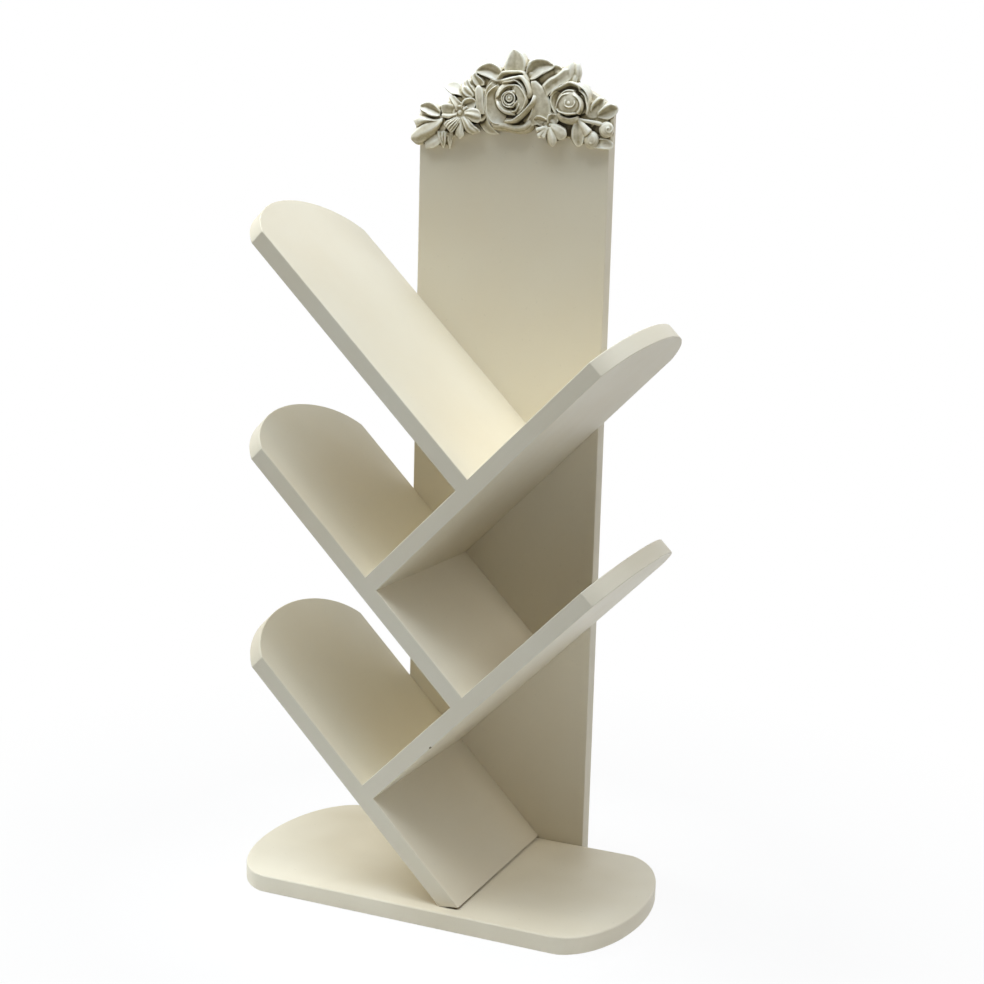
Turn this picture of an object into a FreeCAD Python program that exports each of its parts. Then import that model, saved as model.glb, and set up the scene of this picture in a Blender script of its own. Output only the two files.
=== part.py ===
import FreeCAD, Part
import os

import Sketcher

# Desktop book rack: five slanting shelves on a tall back panel, over a wide base board, with a cast
# rose garland along the head of the panel.
#
# The origin is at the middle of the rack's footprint, on the ground. X runs to the right, Y to the
# back and Z up. The front face of the panel stands at Y = FACE.

Vector = FreeCAD.Vector
Rotation = FreeCAD.Rotation
Placement = FreeCAD.Placement

doc = FreeCAD.newDocument("book_rack")
sheet = doc.addObject("Spreadsheet::Sheet", "sizes")

# The driving dimensions, in millimetres
SIZES = {
    # Shelf boards: all are 12 mm stock with an oval free end
    "shelf_thickness": 12.0,
    "shelf_depth": 149.0,
    "shelf_length": 252.0,
    "foot_shelf_length": 255.0,
    "shelf_end_bulge": 46.0,
    "arris": 0.8,
    # The zigzag of corners where one shelf stands on the next
    "corner_offset": 37.25,
    "first_corner_height": 90.0,
    # Back panel, with a sawn round head whose right shoulder is a step higher than its left
    "panel_width": 149.0,
    "panel_thickness": 13.0,
    "panel_side_height": 548.0,
    "shoulder_step": 14.0,
    "head_rise": 37.0,
    # Base board
    "base_length": 303.0,
    "base_depth": 158.5,
    "base_thickness": 12.5,
    "base_end_bulge": 41.5,
    "base_arris": 1.2,
    # Beech dowels in the four shelf joints
    "dowel_diameter": 6.0,
    "dowel_length": 22.0,
    "seat_wall": 3.5,
    "dowel_spacing": 84.0,
    "dowel_chamfer": 0.6,
    "dowel_play": 0.1,
    "dowel_end_play": 0.5,
    # Countersunk wood screws
    "screw_diameter": 3.5,
    "screw_head_diameter": 7.0,
    "screw_length": 35.0,
    "screw_tip": 5.0,
    "screw_play": 0.1,
    "screw_end_play": 1.0,
    "shelf_screw_start": 25.0,
    "panel_edge_margin": 16.0,
    "base_screw_pitch": 50.0,
    # The two slanting screws up into the foot of the lowest shelf
    "foot_screw_length": 40.0,
    "foot_screw_sunk": 5.5,
    "foot_screw_spacing": 70.0,
    "foot_bore_play": 1.0,
    # Cast garland, which hangs by its drop below the panel's left shoulder
    "garland_width": 166.0,
    "garland_height": 74.0,
    "garland_drop": 18.0,
    "garland_relief": 16.0,
    "leaf_relief": 6.5,
    "band_relief": 3.0,
    "rose_radius": 21.5,
    "small_rose_radius": 13.0,
    "bud_radius": 5.6,
    "cut_overrun": 20.0,
}
for row, (alias, value) in enumerate(SIZES.items(), start=1):
    sheet.set(f"A{row}", alias)
    sheet.set(f"B{row}", str(value))
    sheet.setAlias(f"B{row}", alias)
doc.recompute()

# The shelves lean at 45 degrees either way, so a run along a shelf moves this share of it in X and in Z
LEAN = 45
SLANT = "sqrt(0.5)"
FACE = "((sizes.base_depth - sizes.panel_thickness) / 2)"
MID_DEPTH = "(sizes.shelf_depth / 2)"
MID_THICKNESS = "(sizes.shelf_thickness / 2)"
CORNER_STEP = "(2 * sizes.corner_offset)"
CORNER_RUN = f"({CORNER_STEP} / {SLANT})"
# Half the width of the oval template, which is as wide as the deepest board
TEMPLATE_WIDTH = "(max(sizes.base_depth; sizes.shelf_depth) / 2)"
FOOT_RUN = f"((sizes.first_corner_height - sizes.base_thickness) / {SLANT})"
FOOT_X = "(sizes.first_corner_height - sizes.base_thickness - sizes.corner_offset)"
FOOT_ENTRY_X = f"({FOOT_X} + sizes.base_thickness - {MID_THICKNESS} / {SLANT})"
FOOT_MIDDLE = "(min(sizes.base_depth; sizes.shelf_depth) / 2)"
SEAT_DEPTH = "(sizes.shelf_thickness - sizes.seat_wall)"
HEAD_CONE = "((sizes.screw_head_diameter - sizes.screw_diameter) / 2)"
SCREW_BORE = "(sizes.screw_diameter + sizes.screw_play)"
DOWEL_BORE = "(sizes.dowel_diameter + sizes.dowel_play)"
PANEL_SCREW_BORE_DEPTH = "(sizes.screw_length - sizes.panel_thickness + sizes.screw_end_play)"
# The cross recess in a screw's head: its reach, slot and depth, as shares of the shank's diameter
RECESS_SHARES = (0.46, 0.24, 0.40)
COUNTERSINK_ANGLE = 90
LEFT, RIGHT = -1, 1
TOUCH = 1e-6


def value_of(expression):
    """The number that an expression over the sizes gives."""
    return float(sheet.evalExpression(expression))


def corner_x(index):
    """X of a corner of the zigzag: even corners lie left of the middle, odd ones right."""
    return "(-sizes.corner_offset)" if index % 2 == 0 else "sizes.corner_offset"


def corner_z(index):
    return f"(sizes.first_corner_height + {index} * {CORNER_STEP})"


def new_body(label, rotation=Rotation(), x="0", y=FACE, z="0"):
    body = doc.addObject("PartDesign::Body", label)
    body.Label = label
    body.AllowCompound = True
    body.Placement = Placement(Vector(), rotation)
    for axis, expression in zip("xyz", (x, y, z)):
        body.setExpression(f"Placement.Base.{axis}", expression)
    return body


def origin_feature(body, role):
    return next(item for item in body.Origin.OriginFeatures if item.Role == role)


def new_sketch(body, name, role="XY_Plane", lift=None):
    """A sketch on one of the body's own origin planes, moved along that plane's normal by lift."""
    sketch = body.newObject("Sketcher::SketchObject", name)
    sketch.AttachmentSupport = [(origin_feature(body, role), "")]
    sketch.MapMode = "FlatFace"
    if lift is not None:
        sketch.setExpression("AttachmentOffset.Base.z", lift)
    return sketch


def bind(sketch, kind, *reference, to):
    """Adds a dimension to a sketch and ties it to an expression."""
    index = sketch.addConstraint(Sketcher.Constraint(kind, *reference, value_of(to)))
    sketch.setExpression(f"Constraints[{index}]", to)


def fix_along(sketch, geometry, end, kind, place):
    """Holds one coordinate of a point: DistanceX or DistanceY."""
    if abs(value_of(place)) < TOUCH:
        axis = -2 if kind == "DistanceX" else -1
        sketch.addConstraint(Sketcher.Constraint("PointOnObject", geometry, end, axis))
    else:
        bind(sketch, kind, geometry, end, to=place)


def fix_point(sketch, geometry, end, x, y):
    fix_along(sketch, geometry, end, "DistanceX", x)
    fix_along(sketch, geometry, end, "DistanceY", y)


def draw_polygon(sketch, points):
    """A closed outline of straight runs; each point is a pair of expressions."""
    corners = [Vector(value_of(x), value_of(y), 0) for x, y in points]
    count = len(corners)
    for index, corner in enumerate(corners):
        sketch.addGeometry(Part.LineSegment(corner, corners[(index + 1) % count]), False)
    for index in range(count):
        sketch.addConstraint(Sketcher.Constraint("Coincident", index, 2, (index + 1) % count, 1))
    for index, (x, y) in enumerate(points):
        fix_point(sketch, index, 1, x, y)


def draw_circles(sketch, centres, diameter):
    for x, y in centres:
        centre = Vector(value_of(x), value_of(y), 0)
        index = sketch.addGeometry(Part.Circle(centre, Vector(0, 0, 1), value_of(diameter) / 2), False)
        fix_point(sketch, index, 3, x, y)
        bind(sketch, "Diameter", index, to=diameter)


def add_oval_end(sketch, side, straight, depth, bulge):
    """The oval that closes a board with its back edge on Y = 0, and which of its ends lies in front."""
    middle = f"(-{depth} / 2)"
    reach = f"({straight} + {side} * {bulge} * sqrt(1 - ({depth} / 2 / {TEMPLATE_WIDTH}) ^ 2))"
    centre = Vector(value_of(straight), value_of(middle), 0)
    long_end = centre + Vector(0, value_of(TEMPLATE_WIDTH), 0)
    short_end = centre - Vector(value_of(bulge), 0, 0)
    oval = Part.Ellipse(long_end, short_end, centre)
    at_back = oval.parameter(Vector(value_of(reach), 0, 0))
    in_front = oval.parameter(Vector(value_of(reach), -value_of(depth), 0))
    span = (in_front, at_back) if side == RIGHT else (at_back, in_front)
    arc = sketch.addGeometry(Part.ArcOfEllipse(oval, *span), False)
    sketch.exposeInternalGeometry(arc)
    long_axis, short_axis = arc + 1, arc + 2
    sketch.addConstraint(Sketcher.Constraint("Vertical", long_axis))
    bind(sketch, "Distance", long_axis, to=f"2 * {TEMPLATE_WIDTH}")
    bind(sketch, "Distance", short_axis, to=f"2 * {bulge}")
    fix_point(sketch, arc, 3, straight, middle)
    for end in (1, 2):
        fix_along(sketch, arc, end, "DistanceX", reach)
    starts_in_front = sketch.Geometry[arc].StartPoint.y < centre.y
    return arc, (1, 2) if starts_in_front else (2, 1)


def draw_shelf(sketch, side, length, past="0"):
    """A shelf from above: oval at its free end, square at its joint, which lies past X = 0 by past."""
    straight = f"({side} * ({length} - sizes.shelf_end_bulge))"
    arc, (in_front, at_back) = add_oval_end(
        sketch, side, straight, "sizes.shelf_depth", "sizes.shelf_end_bulge")
    oval = sketch.Geometry[arc]
    ends = sorted((oval.StartPoint, oval.EndPoint), key=lambda point: point.y)
    joint_x = f"({-side} * {past})"
    front_corner = Vector(value_of(joint_x), -value_of("sizes.shelf_depth"), 0)
    back_corner = Vector(value_of(joint_x), 0, 0)
    front_edge = sketch.addGeometry(Part.LineSegment(front_corner, ends[0]), False)
    back_edge = sketch.addGeometry(Part.LineSegment(ends[1], back_corner), False)
    joint_edge = sketch.addGeometry(Part.LineSegment(back_corner, front_corner), False)
    for first, first_end, second, second_end in (
            (front_edge, 2, arc, in_front), (arc, at_back, back_edge, 1),
            (back_edge, 2, joint_edge, 1), (joint_edge, 2, front_edge, 1)):
        sketch.addConstraint(Sketcher.Constraint("Coincident", first, first_end, second, second_end))
    fix_point(sketch, joint_edge, 1, joint_x, "0")
    fix_point(sketch, joint_edge, 2, joint_x, "(-sizes.shelf_depth)")


def draw_base(sketch):
    """The base board from above, with its back edge on Y = 0 and an oval end either side."""
    straight = "(sizes.base_length / 2 - sizes.base_end_bulge)"
    arcs = {}
    for side in (LEFT, RIGHT):
        arcs[side] = add_oval_end(
            sketch, side, f"({side} * {straight})", "sizes.base_depth", "sizes.base_end_bulge")
    for which in (0, 1):
        corners = []
        for side in (LEFT, RIGHT):
            oval = sketch.Geometry[arcs[side][0]]
            ends = sorted((oval.StartPoint, oval.EndPoint), key=lambda point: point.y)
            corners.append(ends[which])
        edge = sketch.addGeometry(Part.LineSegment(*corners), False)
        for side, end in ((LEFT, 1), (RIGHT, 2)):
            arc, arc_ends = arcs[side]
            sketch.addConstraint(Sketcher.Constraint("Coincident", edge, end, arc, arc_ends[which]))


def add_pad(body, sketch, length, reverse=False):
    pad = body.newObject("PartDesign::Pad", f"{body.Label}_pad")
    pad.Profile = sketch
    pad.setExpression("Length", length)
    pad.Reversed = reverse
    sketch.Visibility = False
    doc.recompute()
    return pad


def add_pocket(body, sketch, name, depth, reverse=False, midplane=False):
    """Cuts the sketch into the body, and makes sure that it took something away."""
    before = body.Shape.Volume
    pocket = body.newObject("PartDesign::Pocket", name)
    pocket.Profile = sketch
    pocket.setExpression("Length", depth)
    pocket.Reversed = reverse
    pocket.Midplane = midplane
    sketch.Visibility = False
    doc.recompute()
    if body.Shape.Volume >= before:
        raise ValueError(f"{name} cuts nothing")
    return pocket


def round_edges(body, base, chosen, radius):
    fillet = body.newObject("PartDesign::Fillet", f"{body.Label}_arris")
    names = [f"Edge{index}" for index, edge in enumerate(base.Shape.Edges, start=1) if chosen(edge)]
    fillet.Base = (base, names)
    fillet.setExpression("Radius", radius)
    doc.recompute()
    return fillet


# The places of the fastenings, in a shelf's own frame: its joint is at X = 0 and its back edge at Y = 0
def dowel_depths():
    return [f"(-{MID_DEPTH} + {sign} * sizes.dowel_spacing / 2)" for sign in (-1, 1)]


def foot_screw_depths():
    return [f"(-{FOOT_MIDDLE} + {sign} * sizes.foot_screw_spacing / 2)" for sign in (-1, 1)]


def screw_runs(side, x):
    """How far along a shelf its two panel screws sit: one near its joint, one near the panel's edge."""
    far = f"((sizes.panel_width / 2 - sizes.panel_edge_margin - {side} * {x}) / {SLANT} - {MID_THICKNESS})"
    return ["sizes.shelf_screw_start", far]


def screw_place(side, x, z, run):
    """Where a shelf's screw crosses the panel, from that shelf's joint and the run along it."""
    across = f"({x} + {side} * ({run} + {MID_THICKNESS}) * {SLANT})"
    up = f"({z} + ({run} - {MID_THICKNESS}) * {SLANT})"
    return across, up


def make_shelf(label, side, x, z, length, next_run=None, on_base=False):
    """One shelf. Its frame has the upper face at Z = 0 and the joint at X = 0; side is where its free
    end lies, and next_run is how far along it the next shelf stands."""
    body = new_body(label, Rotation(Vector(0, 1, 0), -side * LEAN), x=x, z=z)
    outline = new_sketch(body, f"{label}_outline")
    draw_shelf(outline, side, length, past="sizes.cut_overrun" if on_base else "0")
    board = add_pad(body, outline, "sizes.shelf_thickness", reverse=True)
    joint_x = board.Shape.BoundBox.XMin if side == RIGHT else board.Shape.BoundBox.XMax
    round_edges(body, board, lambda edge: abs(edge.BoundBox.Center.x - joint_x) > TOUCH, "sizes.arris")
    if on_base:
        # The foot is cut level, from above the upper face down to below the lower one
        mitre = new_sketch(body, f"{label}_mitre_outline", "XZ_Plane")
        above, below = "sizes.cut_overrun", "(-sizes.shelf_thickness - sizes.cut_overrun)"
        points = [(above, above), (below, below), (f"(2 * {above})", below), (f"(2 * {above})", above)]
        draw_polygon(mitre, [(f"({-side} * {x})", z) for x, z in points])
        add_pocket(body, mitre, f"{label}_mitre", "(3 * sizes.shelf_depth)", midplane=True)

    screws = new_sketch(body, f"{label}_screw_places", "XZ_Plane")
    places = [(f"({side} * {run})", f"(-{MID_THICKNESS})") for run in screw_runs(side, x)]
    draw_circles(screws, places, SCREW_BORE)
    add_pocket(body, screws, f"{label}_screw_bores", PANEL_SCREW_BORE_DEPTH, reverse=True)

    joint = new_sketch(body, f"{label}_joint_places", "YZ_Plane")
    if on_base:
        places = [(depth_place, f"(-{MID_THICKNESS})") for depth_place in foot_screw_depths()]
        draw_circles(joint, places, SCREW_BORE)
        depth = (f"({MID_THICKNESS} + sizes.foot_screw_sunk + sizes.foot_screw_length"
                 f" - sizes.base_thickness / {SLANT} + sizes.screw_end_play)")
        add_pocket(body, joint, f"{label}_foot_bores", depth, reverse=side == RIGHT)
    else:
        places = [(depth_place, f"(-{MID_THICKNESS})") for depth_place in dowel_depths()]
        draw_circles(joint, places, DOWEL_BORE)
        depth = f"(sizes.dowel_length + 2 * sizes.dowel_end_play - {SEAT_DEPTH})"
        add_pocket(body, joint, f"{label}_end_bores", depth, reverse=side == RIGHT)

    if next_run:
        seat = new_sketch(body, f"{label}_seat_places")
        run = f"({side} * ({next_run} - {MID_THICKNESS}))"
        draw_circles(seat, [(run, depth_place) for depth_place in dowel_depths()], DOWEL_BORE)
        add_pocket(body, seat, f"{label}_seat_bores", SEAT_DEPTH)
    return body


def make_dowels(label, side, x, z):
    """The two dowels in one joint, in the frame of the shelf that stands there."""
    body = new_body(label, Rotation(Vector(0, 1, 0), -side * LEAN), x=x, z=z)
    into_seat = f"({-side} * ({SEAT_DEPTH} - sizes.dowel_end_play))"
    ends = new_sketch(body, f"{label}_ends", "YZ_Plane", lift=into_seat)
    draw_circles(ends, [(y, f"(-{MID_THICKNESS})") for y in dowel_depths()], "sizes.dowel_diameter")
    pad = add_pad(body, ends, "sizes.dowel_length", reverse=side == LEFT)
    chamfer = body.newObject("PartDesign::Chamfer", f"{label}_chamfer")
    rims = [f"Edge{index}" for index, edge in enumerate(pad.Shape.Edges, start=1) if edge.isClosed()]
    chamfer.Base = (pad, rims)
    chamfer.setExpression("Size", "sizes.dowel_chamfer")
    doc.recompute()
    return body


def make_screws(label, length, count, pitch, axis, rotation, x, y, z):
    """A row of countersunk screws. The first has its head at the body's origin and points down its Z."""
    body = new_body(label, rotation, x=x, y=y, z=z)
    profile = new_sketch(body, f"{label}_profile", "XZ_Plane")
    radius = "(sizes.screw_diameter / 2)"
    draw_polygon(profile, [
        ("0", "0"),
        ("(sizes.screw_head_diameter / 2)", "0"),
        (radius, f"(-{HEAD_CONE})"),
        (radius, f"(sizes.screw_tip - {length})"),
        ("0", f"(-{length})"),
    ])
    turned = body.newObject("PartDesign::Revolution", f"{label}_turned")
    turned.Profile = profile
    turned.ReferenceAxis = (profile, ["V_Axis"])
    turned.Angle = 360
    profile.Visibility = False
    doc.recompute()

    cross = new_sketch(body, f"{label}_recess_outline")
    reach_share, slot_share, depth_share = RECESS_SHARES
    reach = f"({reach_share} * sizes.screw_diameter)"
    slot = f"({slot_share} * sizes.screw_diameter / 2)"
    arms = [(reach, slot), (slot, slot), (slot, reach)]
    points = []
    for sign_x, sign_y, order in ((1, 1, 1), (-1, 1, -1), (-1, -1, 1), (1, -1, -1)):
        points += [(f"({sign_x} * {px})", f"({sign_y} * {py})") for px, py in arms[::order]]
    draw_polygon(cross, points)
    recess = add_pocket(body, cross, f"{label}_recess", f"({depth_share} * sizes.screw_diameter)")

    row = body.newObject("PartDesign::LinearPattern", f"{label}_row")
    row.Originals = [turned, recess]
    row.Direction = (origin_feature(body, axis), [""])
    row.setExpression("Length", f"{count - 1} * {pitch}")
    row.Occurrences = count
    body.Tip = row
    doc.recompute()
    return body


# Base board, with the two slanting bores for the foot screws
def make_base_board():
    body = new_body("base_board_blank")
    outline = new_sketch(body, "base_outline")
    draw_base(outline)
    pad = add_pad(body, outline, "sizes.base_thickness")
    round_edges(body, pad, lambda edge: True, "sizes.base_arris")
    places = new_sketch(body, "base_screw_places", "XZ_Plane")
    centres = [(f"({step} * sizes.base_screw_pitch)", "(sizes.base_thickness / 2)") for step in (-1, 0, 1)]
    draw_circles(places, centres, SCREW_BORE)
    add_pocket(body, places, "base_screw_bores", PANEL_SCREW_BORE_DEPTH, reverse=True)

    # Each slanting bore starts one overrun out from the underside, and has a wider one for the screw's head
    bores = []
    for index, y in enumerate(foot_screw_depths(), start=1):
        for name, diameter, depth in (
                ("shank", SCREW_BORE,
                 f"(sizes.cut_overrun + sizes.base_thickness / {SLANT} + sizes.cut_overrun)"),
                ("head", "(sizes.screw_head_diameter + sizes.foot_bore_play)",
                 f"(sizes.cut_overrun + sizes.foot_screw_sunk + {HEAD_CONE})")):
            bore = doc.addObject("Part::Cylinder", f"foot_{name}_bore_{index}")
            bore.Placement = Placement(Vector(), Rotation(Vector(0, 1, 0), -LEAN))
            bore.setExpression("Radius", f"{diameter} / 2")
            bore.setExpression("Height", depth)
            bore.setExpression("Placement.Base.x", f"{FOOT_ENTRY_X} + sizes.cut_overrun * {SLANT}")
            bore.setExpression("Placement.Base.y", f"{FACE} + {y}")
            bore.setExpression("Placement.Base.z", f"-sizes.cut_overrun * {SLANT}")
            bores.append(bore)
    tools = doc.addObject("Part::MultiFuse", "foot_bores")
    tools.Shapes = bores
    board = doc.addObject("Part::Cut", "base_board")
    board.Base = body
    board.Tool = tools
    board.Label = "base_board"
    doc.recompute()
    return board


def draw_panel(sketch):
    """The panel from the front: straight sides under a round head."""
    half = "(sizes.panel_width / 2)"
    left_top = "sizes.panel_side_height"
    right_top = "(sizes.panel_side_height + sizes.shoulder_step)"
    chord_squared = "(sizes.panel_width ^ 2 + sizes.shoulder_step ^ 2)"
    radius = f"({chord_squared} / (8 * sizes.head_rise) + sizes.head_rise / 2)"
    corners = [(f"(-{half})", left_top), (f"(-{half})", "0"), (half, "0"), (half, right_top)]
    points = [Vector(value_of(x), value_of(z), 0) for x, z in corners]
    for index in range(len(points) - 1):
        sketch.addGeometry(Part.LineSegment(points[index], points[index + 1]), False)
    for index in range(len(points) - 2):
        sketch.addConstraint(Sketcher.Constraint("Coincident", index, 2, index + 1, 1))
    for index, (x, z) in enumerate(corners[:-1]):
        fix_point(sketch, index, 1, x, z)
    last = len(points) - 2
    fix_point(sketch, last, 2, *corners[-1])
    middle = (points[0] + points[-1]) / 2
    square_to_chord = Vector(points[0].y - points[-1].y, points[-1].x - points[0].x, 0).normalize()
    top = middle + square_to_chord * value_of("sizes.head_rise")
    head = sketch.addGeometry(Part.Arc(points[-1], top, points[0]), False)
    sketch.addConstraint(Sketcher.Constraint("Coincident", head, 1, last, 2))
    sketch.addConstraint(Sketcher.Constraint("Coincident", head, 2, 0, 1))
    bind(sketch, "Radius", head, to=radius)


def make_back_panel():
    body = new_body("back_panel")
    outline = new_sketch(body, "panel_outline", "XZ_Plane")
    draw_panel(outline)
    pad = add_pad(body, outline, "sizes.panel_thickness", reverse=True)
    round_edges(body, pad, lambda edge: True, "sizes.arris")

    places = new_sketch(body, "panel_screw_places", "XZ_Plane", lift="(-sizes.panel_thickness)")
    centres = [(f"({step} * sizes.base_screw_pitch)", "(sizes.base_thickness / 2)") for step in (-1, 0, 1)]
    for side, x, z in SHELF_STARTS.values():
        centres += [screw_place(side, x, z, run) for run in screw_runs(side, x)]
    draw_circles(places, centres, SCREW_BORE)
    doc.recompute()
    before = body.Shape.Volume
    hole = body.newObject("PartDesign::Hole", "panel_screw_holes")
    hole.Profile = places
    hole.DepthType = "ThroughAll"
    hole.setExpression("Diameter", SCREW_BORE)
    hole.HoleCutType = "Countersink"
    hole.HoleCutCustomValues = True
    hole.setExpression("HoleCutDiameter", "(sizes.screw_head_diameter + sizes.screw_play)")
    hole.HoleCutCountersinkAngle = COUNTERSINK_ANGLE
    hole.Reversed = True
    doc.recompute()
    if body.Shape.Volume >= before:
        raise ValueError("the panel's screw holes cut nothing")
    return body


# The garland. Every place is a share of the garland's width, from its middle, and of its height, from
# its foot. A leaf runs from its stalk to its tip, and its breadth is a share of the garland's height
LEAF_SHARES = [
    (0.009, 0.74, 0.006, 1.00, 0.23),
    (-0.048, 0.70, -0.175, 0.78, 0.20),
    (-0.108, 0.58, -0.214, 0.73, 0.12),
    (-0.120, 0.50, -0.232, 0.62, 0.11),
    (-0.229, 0.50, -0.325, 0.655, 0.13),
    (-0.313, 0.35, -0.440, 0.46, 0.15),
    (-0.325, 0.30, -0.476, 0.31, 0.14),
    (-0.313, 0.28, -0.482, 0.14, 0.17),
    (-0.325, 0.22, -0.422, 0.05, 0.13),
    (-0.325, 0.21, -0.319, 0.01, 0.08),
    (0.084, 0.66, 0.111, 0.89, 0.16),
    (0.096, 0.66, 0.231, 0.81, 0.14),
    (0.163, 0.55, 0.283, 0.78, 0.13),
    (0.255, 0.62, 0.307, 0.81, 0.17),
    (0.307, 0.32, 0.307, 0.03, 0.13),
    (0.350, 0.36, 0.428, 0.52, 0.13),
    (0.370, 0.33, 0.460, 0.44, 0.14),
    (0.335, 0.10, 0.458, 0.05, 0.09),
    (-0.133, 0.34, -0.145, 0.60, 0.12),
    (0.331, 0.26, 0.404, 0.10, 0.13),
    (0.330, 0.30, 0.430, 0.25, 0.09),
]
ROSE_PLACE_SHARES = (-0.010, 0.52)
SMALL_ROSE_PLACE_SHARES = (0.265, 0.47)
BUD_PLACE_SHARES = (0.430, 0.25)
DAISY_PLACE_SHARES = (-0.245, 0.37)
DAISY_PETALS = 8
DAISY_PETAL_SHARES = (0.21, 0.10)
PETAL_RELIEF_SHARE = 0.8
BUD_LIFT_SHARE = 0.5
BLOSSOM_PLACE_SHARES = (0.181, 0.235)
BLOSSOM_PETALS = 5
BLOSSOM_PETAL_SHARES = (0.17, 0.13)
BAND_SHARES = (-0.43, 0.30, 0.45, 0.30, 0.34)
# A rose in section, from its rim to its heart: shares of its radius and of its relief
ROSE_SECTION_SHARES = [
    (1.0, 0.30), (0.93, 0.50), (0.80, 0.60), (0.76, 0.46), (0.66, 0.76), (0.55, 0.82), (0.50, 0.66),
    (0.38, 0.94), (0.28, 0.98), (0.24, 0.82), (0.13, 1.0),
]


def make_garland():
    """One casting: roses, a daisy, a blossom, buds and leaves on a band, flat behind."""
    width, height = value_of("sizes.garland_width"), value_of("sizes.garland_height")
    foot = value_of("sizes.panel_side_height - sizes.garland_drop")
    relief, leaf_relief = value_of("sizes.garland_relief"), value_of("sizes.leaf_relief")

    def place(share_x, share_z):
        return Vector(share_x * width, 0, foot + share_z * height)

    def leaf(stalk, tip, breadth, depth):
        """A pointed leaf: two arcs from stalk to tip, thickened towards the front."""
        along = tip - stalk
        across = Vector(-along.z, 0, along.x).normalize() * (breadth / 2)
        middle = (stalk + tip) / 2
        out = Part.Arc(stalk, middle + across, tip).toShape()
        back = Part.Arc(tip, middle - across, stalk).toShape()
        return Part.Face(Part.Wire([out, back])).extrude(Vector(0, -depth, 0))

    def rose(centre, radius, depth):
        """A rose turned from its section, with ridges where its petals overlap."""
        section = [Vector(0, 0, 0), Vector(radius, 0, 0)]
        for share_r, share_d in ROSE_SECTION_SHARES:
            section.append(Vector(share_r * radius, -share_d * depth, 0))
        section += [Vector(0, section[-1].y, 0), Vector(0, 0, 0)]
        solid = Part.Face(Part.makePolygon(section)).revolve(Vector(), Vector(0, 1, 0), 360)
        return solid.translated(centre)

    def flower(centre, petals, petal_length, petal_breadth, depth):
        """Petals like leaves round a domed heart."""
        heart = Part.makeCylinder(petal_breadth / 2, depth, centre, Vector(0, -1, 0))
        petal_depth = depth * PETAL_RELIEF_SHARE
        pieces = [heart]
        for index in range(petals):
            turn = Rotation(Vector(0, 1, 0), 360 * index / petals)
            tip = centre + turn.multVec(Vector(0, 0, petal_length))
            pieces.append(leaf(centre, tip, petal_breadth, petal_depth))
        return pieces

    band_x, band_z, band_end_x, band_end_z, band_breadth = BAND_SHARES
    pieces = [leaf(place(band_x, band_z), place(band_end_x, band_end_z), band_breadth * height,
                   value_of("sizes.band_relief"))]
    for stalk_x, stalk_z, tip_x, tip_z, breadth in LEAF_SHARES:
        pieces.append(leaf(place(stalk_x, stalk_z), place(tip_x, tip_z), breadth * height, leaf_relief))
    pieces.append(rose(place(*ROSE_PLACE_SHARES), value_of("sizes.rose_radius"), relief))
    small = value_of("sizes.small_rose_radius")
    small_relief = relief * small / value_of("sizes.rose_radius")
    pieces.append(rose(place(*SMALL_ROSE_PLACE_SHARES), small, small_relief))
    for spot, petals, (length_share, breadth_share) in (
            (DAISY_PLACE_SHARES, DAISY_PETALS, DAISY_PETAL_SHARES),
            (BLOSSOM_PLACE_SHARES, BLOSSOM_PETALS, BLOSSOM_PETAL_SHARES)):
        pieces += flower(place(*spot), petals, length_share * height, breadth_share * height, leaf_relief)
    bud = value_of("sizes.bud_radius")
    pieces.append(Part.makeSphere(bud, place(*BUD_PLACE_SHARES) - Vector(0, bud * BUD_LIFT_SHARE, 0)))

    casting = pieces[0].multiFuse(pieces[1:])
    bud_back = Part.makeBox(2 * bud, bud, 2 * bud, place(*BUD_PLACE_SHARES) - Vector(bud, 0, bud))
    casting = casting.cut(bud_back).removeSplitter()
    garland = doc.addObject("Part::Feature", "rose_garland")
    garland.Shape = casting
    garland.Label = "rose_garland"
    garland.setExpression("Placement.Base.y", FACE)
    doc.recompute()
    return garland


# Where each shelf starts: the side of its free end, and the place of its joint's upper corner
SHELF_STARTS = {
    "lower_left_shelf": (LEFT, FOOT_X, "sizes.base_thickness"),
    "lower_right_shelf": (RIGHT, corner_x(0), corner_z(0)),
    "middle_left_shelf": (LEFT, corner_x(1), corner_z(1)),
    "upper_right_shelf": (RIGHT, corner_x(2), corner_z(2)),
    "upper_left_shelf": (LEFT, corner_x(3), corner_z(3)),
}

BACK = f"({FACE} + sizes.panel_thickness)"
INTO_BACK = Rotation(Vector(1, 0, 0), -90)

pieces = [make_base_board(), make_back_panel()]
last_shelf = list(SHELF_STARTS)[-1]
for label, (side, x, z) in SHELF_STARTS.items():
    on_base = label == "lower_left_shelf"
    length = "sizes.foot_shelf_length" if on_base else "sizes.shelf_length"
    next_run = FOOT_RUN if on_base else CORNER_RUN
    if label == last_shelf:
        next_run = None
    pieces.append(make_shelf(label, side, x, z, length, next_run, on_base))
    stem = label.replace("_shelf", "")
    if not on_base:
        pieces.append(make_dowels(f"{stem}_dowels", side, x, z))
    start, end = screw_runs(side, x)
    screw_x, screw_z = screw_place(side, x, z, start)
    turn = INTO_BACK.multiply(Rotation(Vector(0, 0, 1), -LEAN if side == RIGHT else LEAN - 180))
    pieces.append(make_screws(f"{stem}_screws", "sizes.screw_length", 2, f"({end} - {start})", "X_Axis",
                              turn, screw_x, BACK, screw_z))

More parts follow.
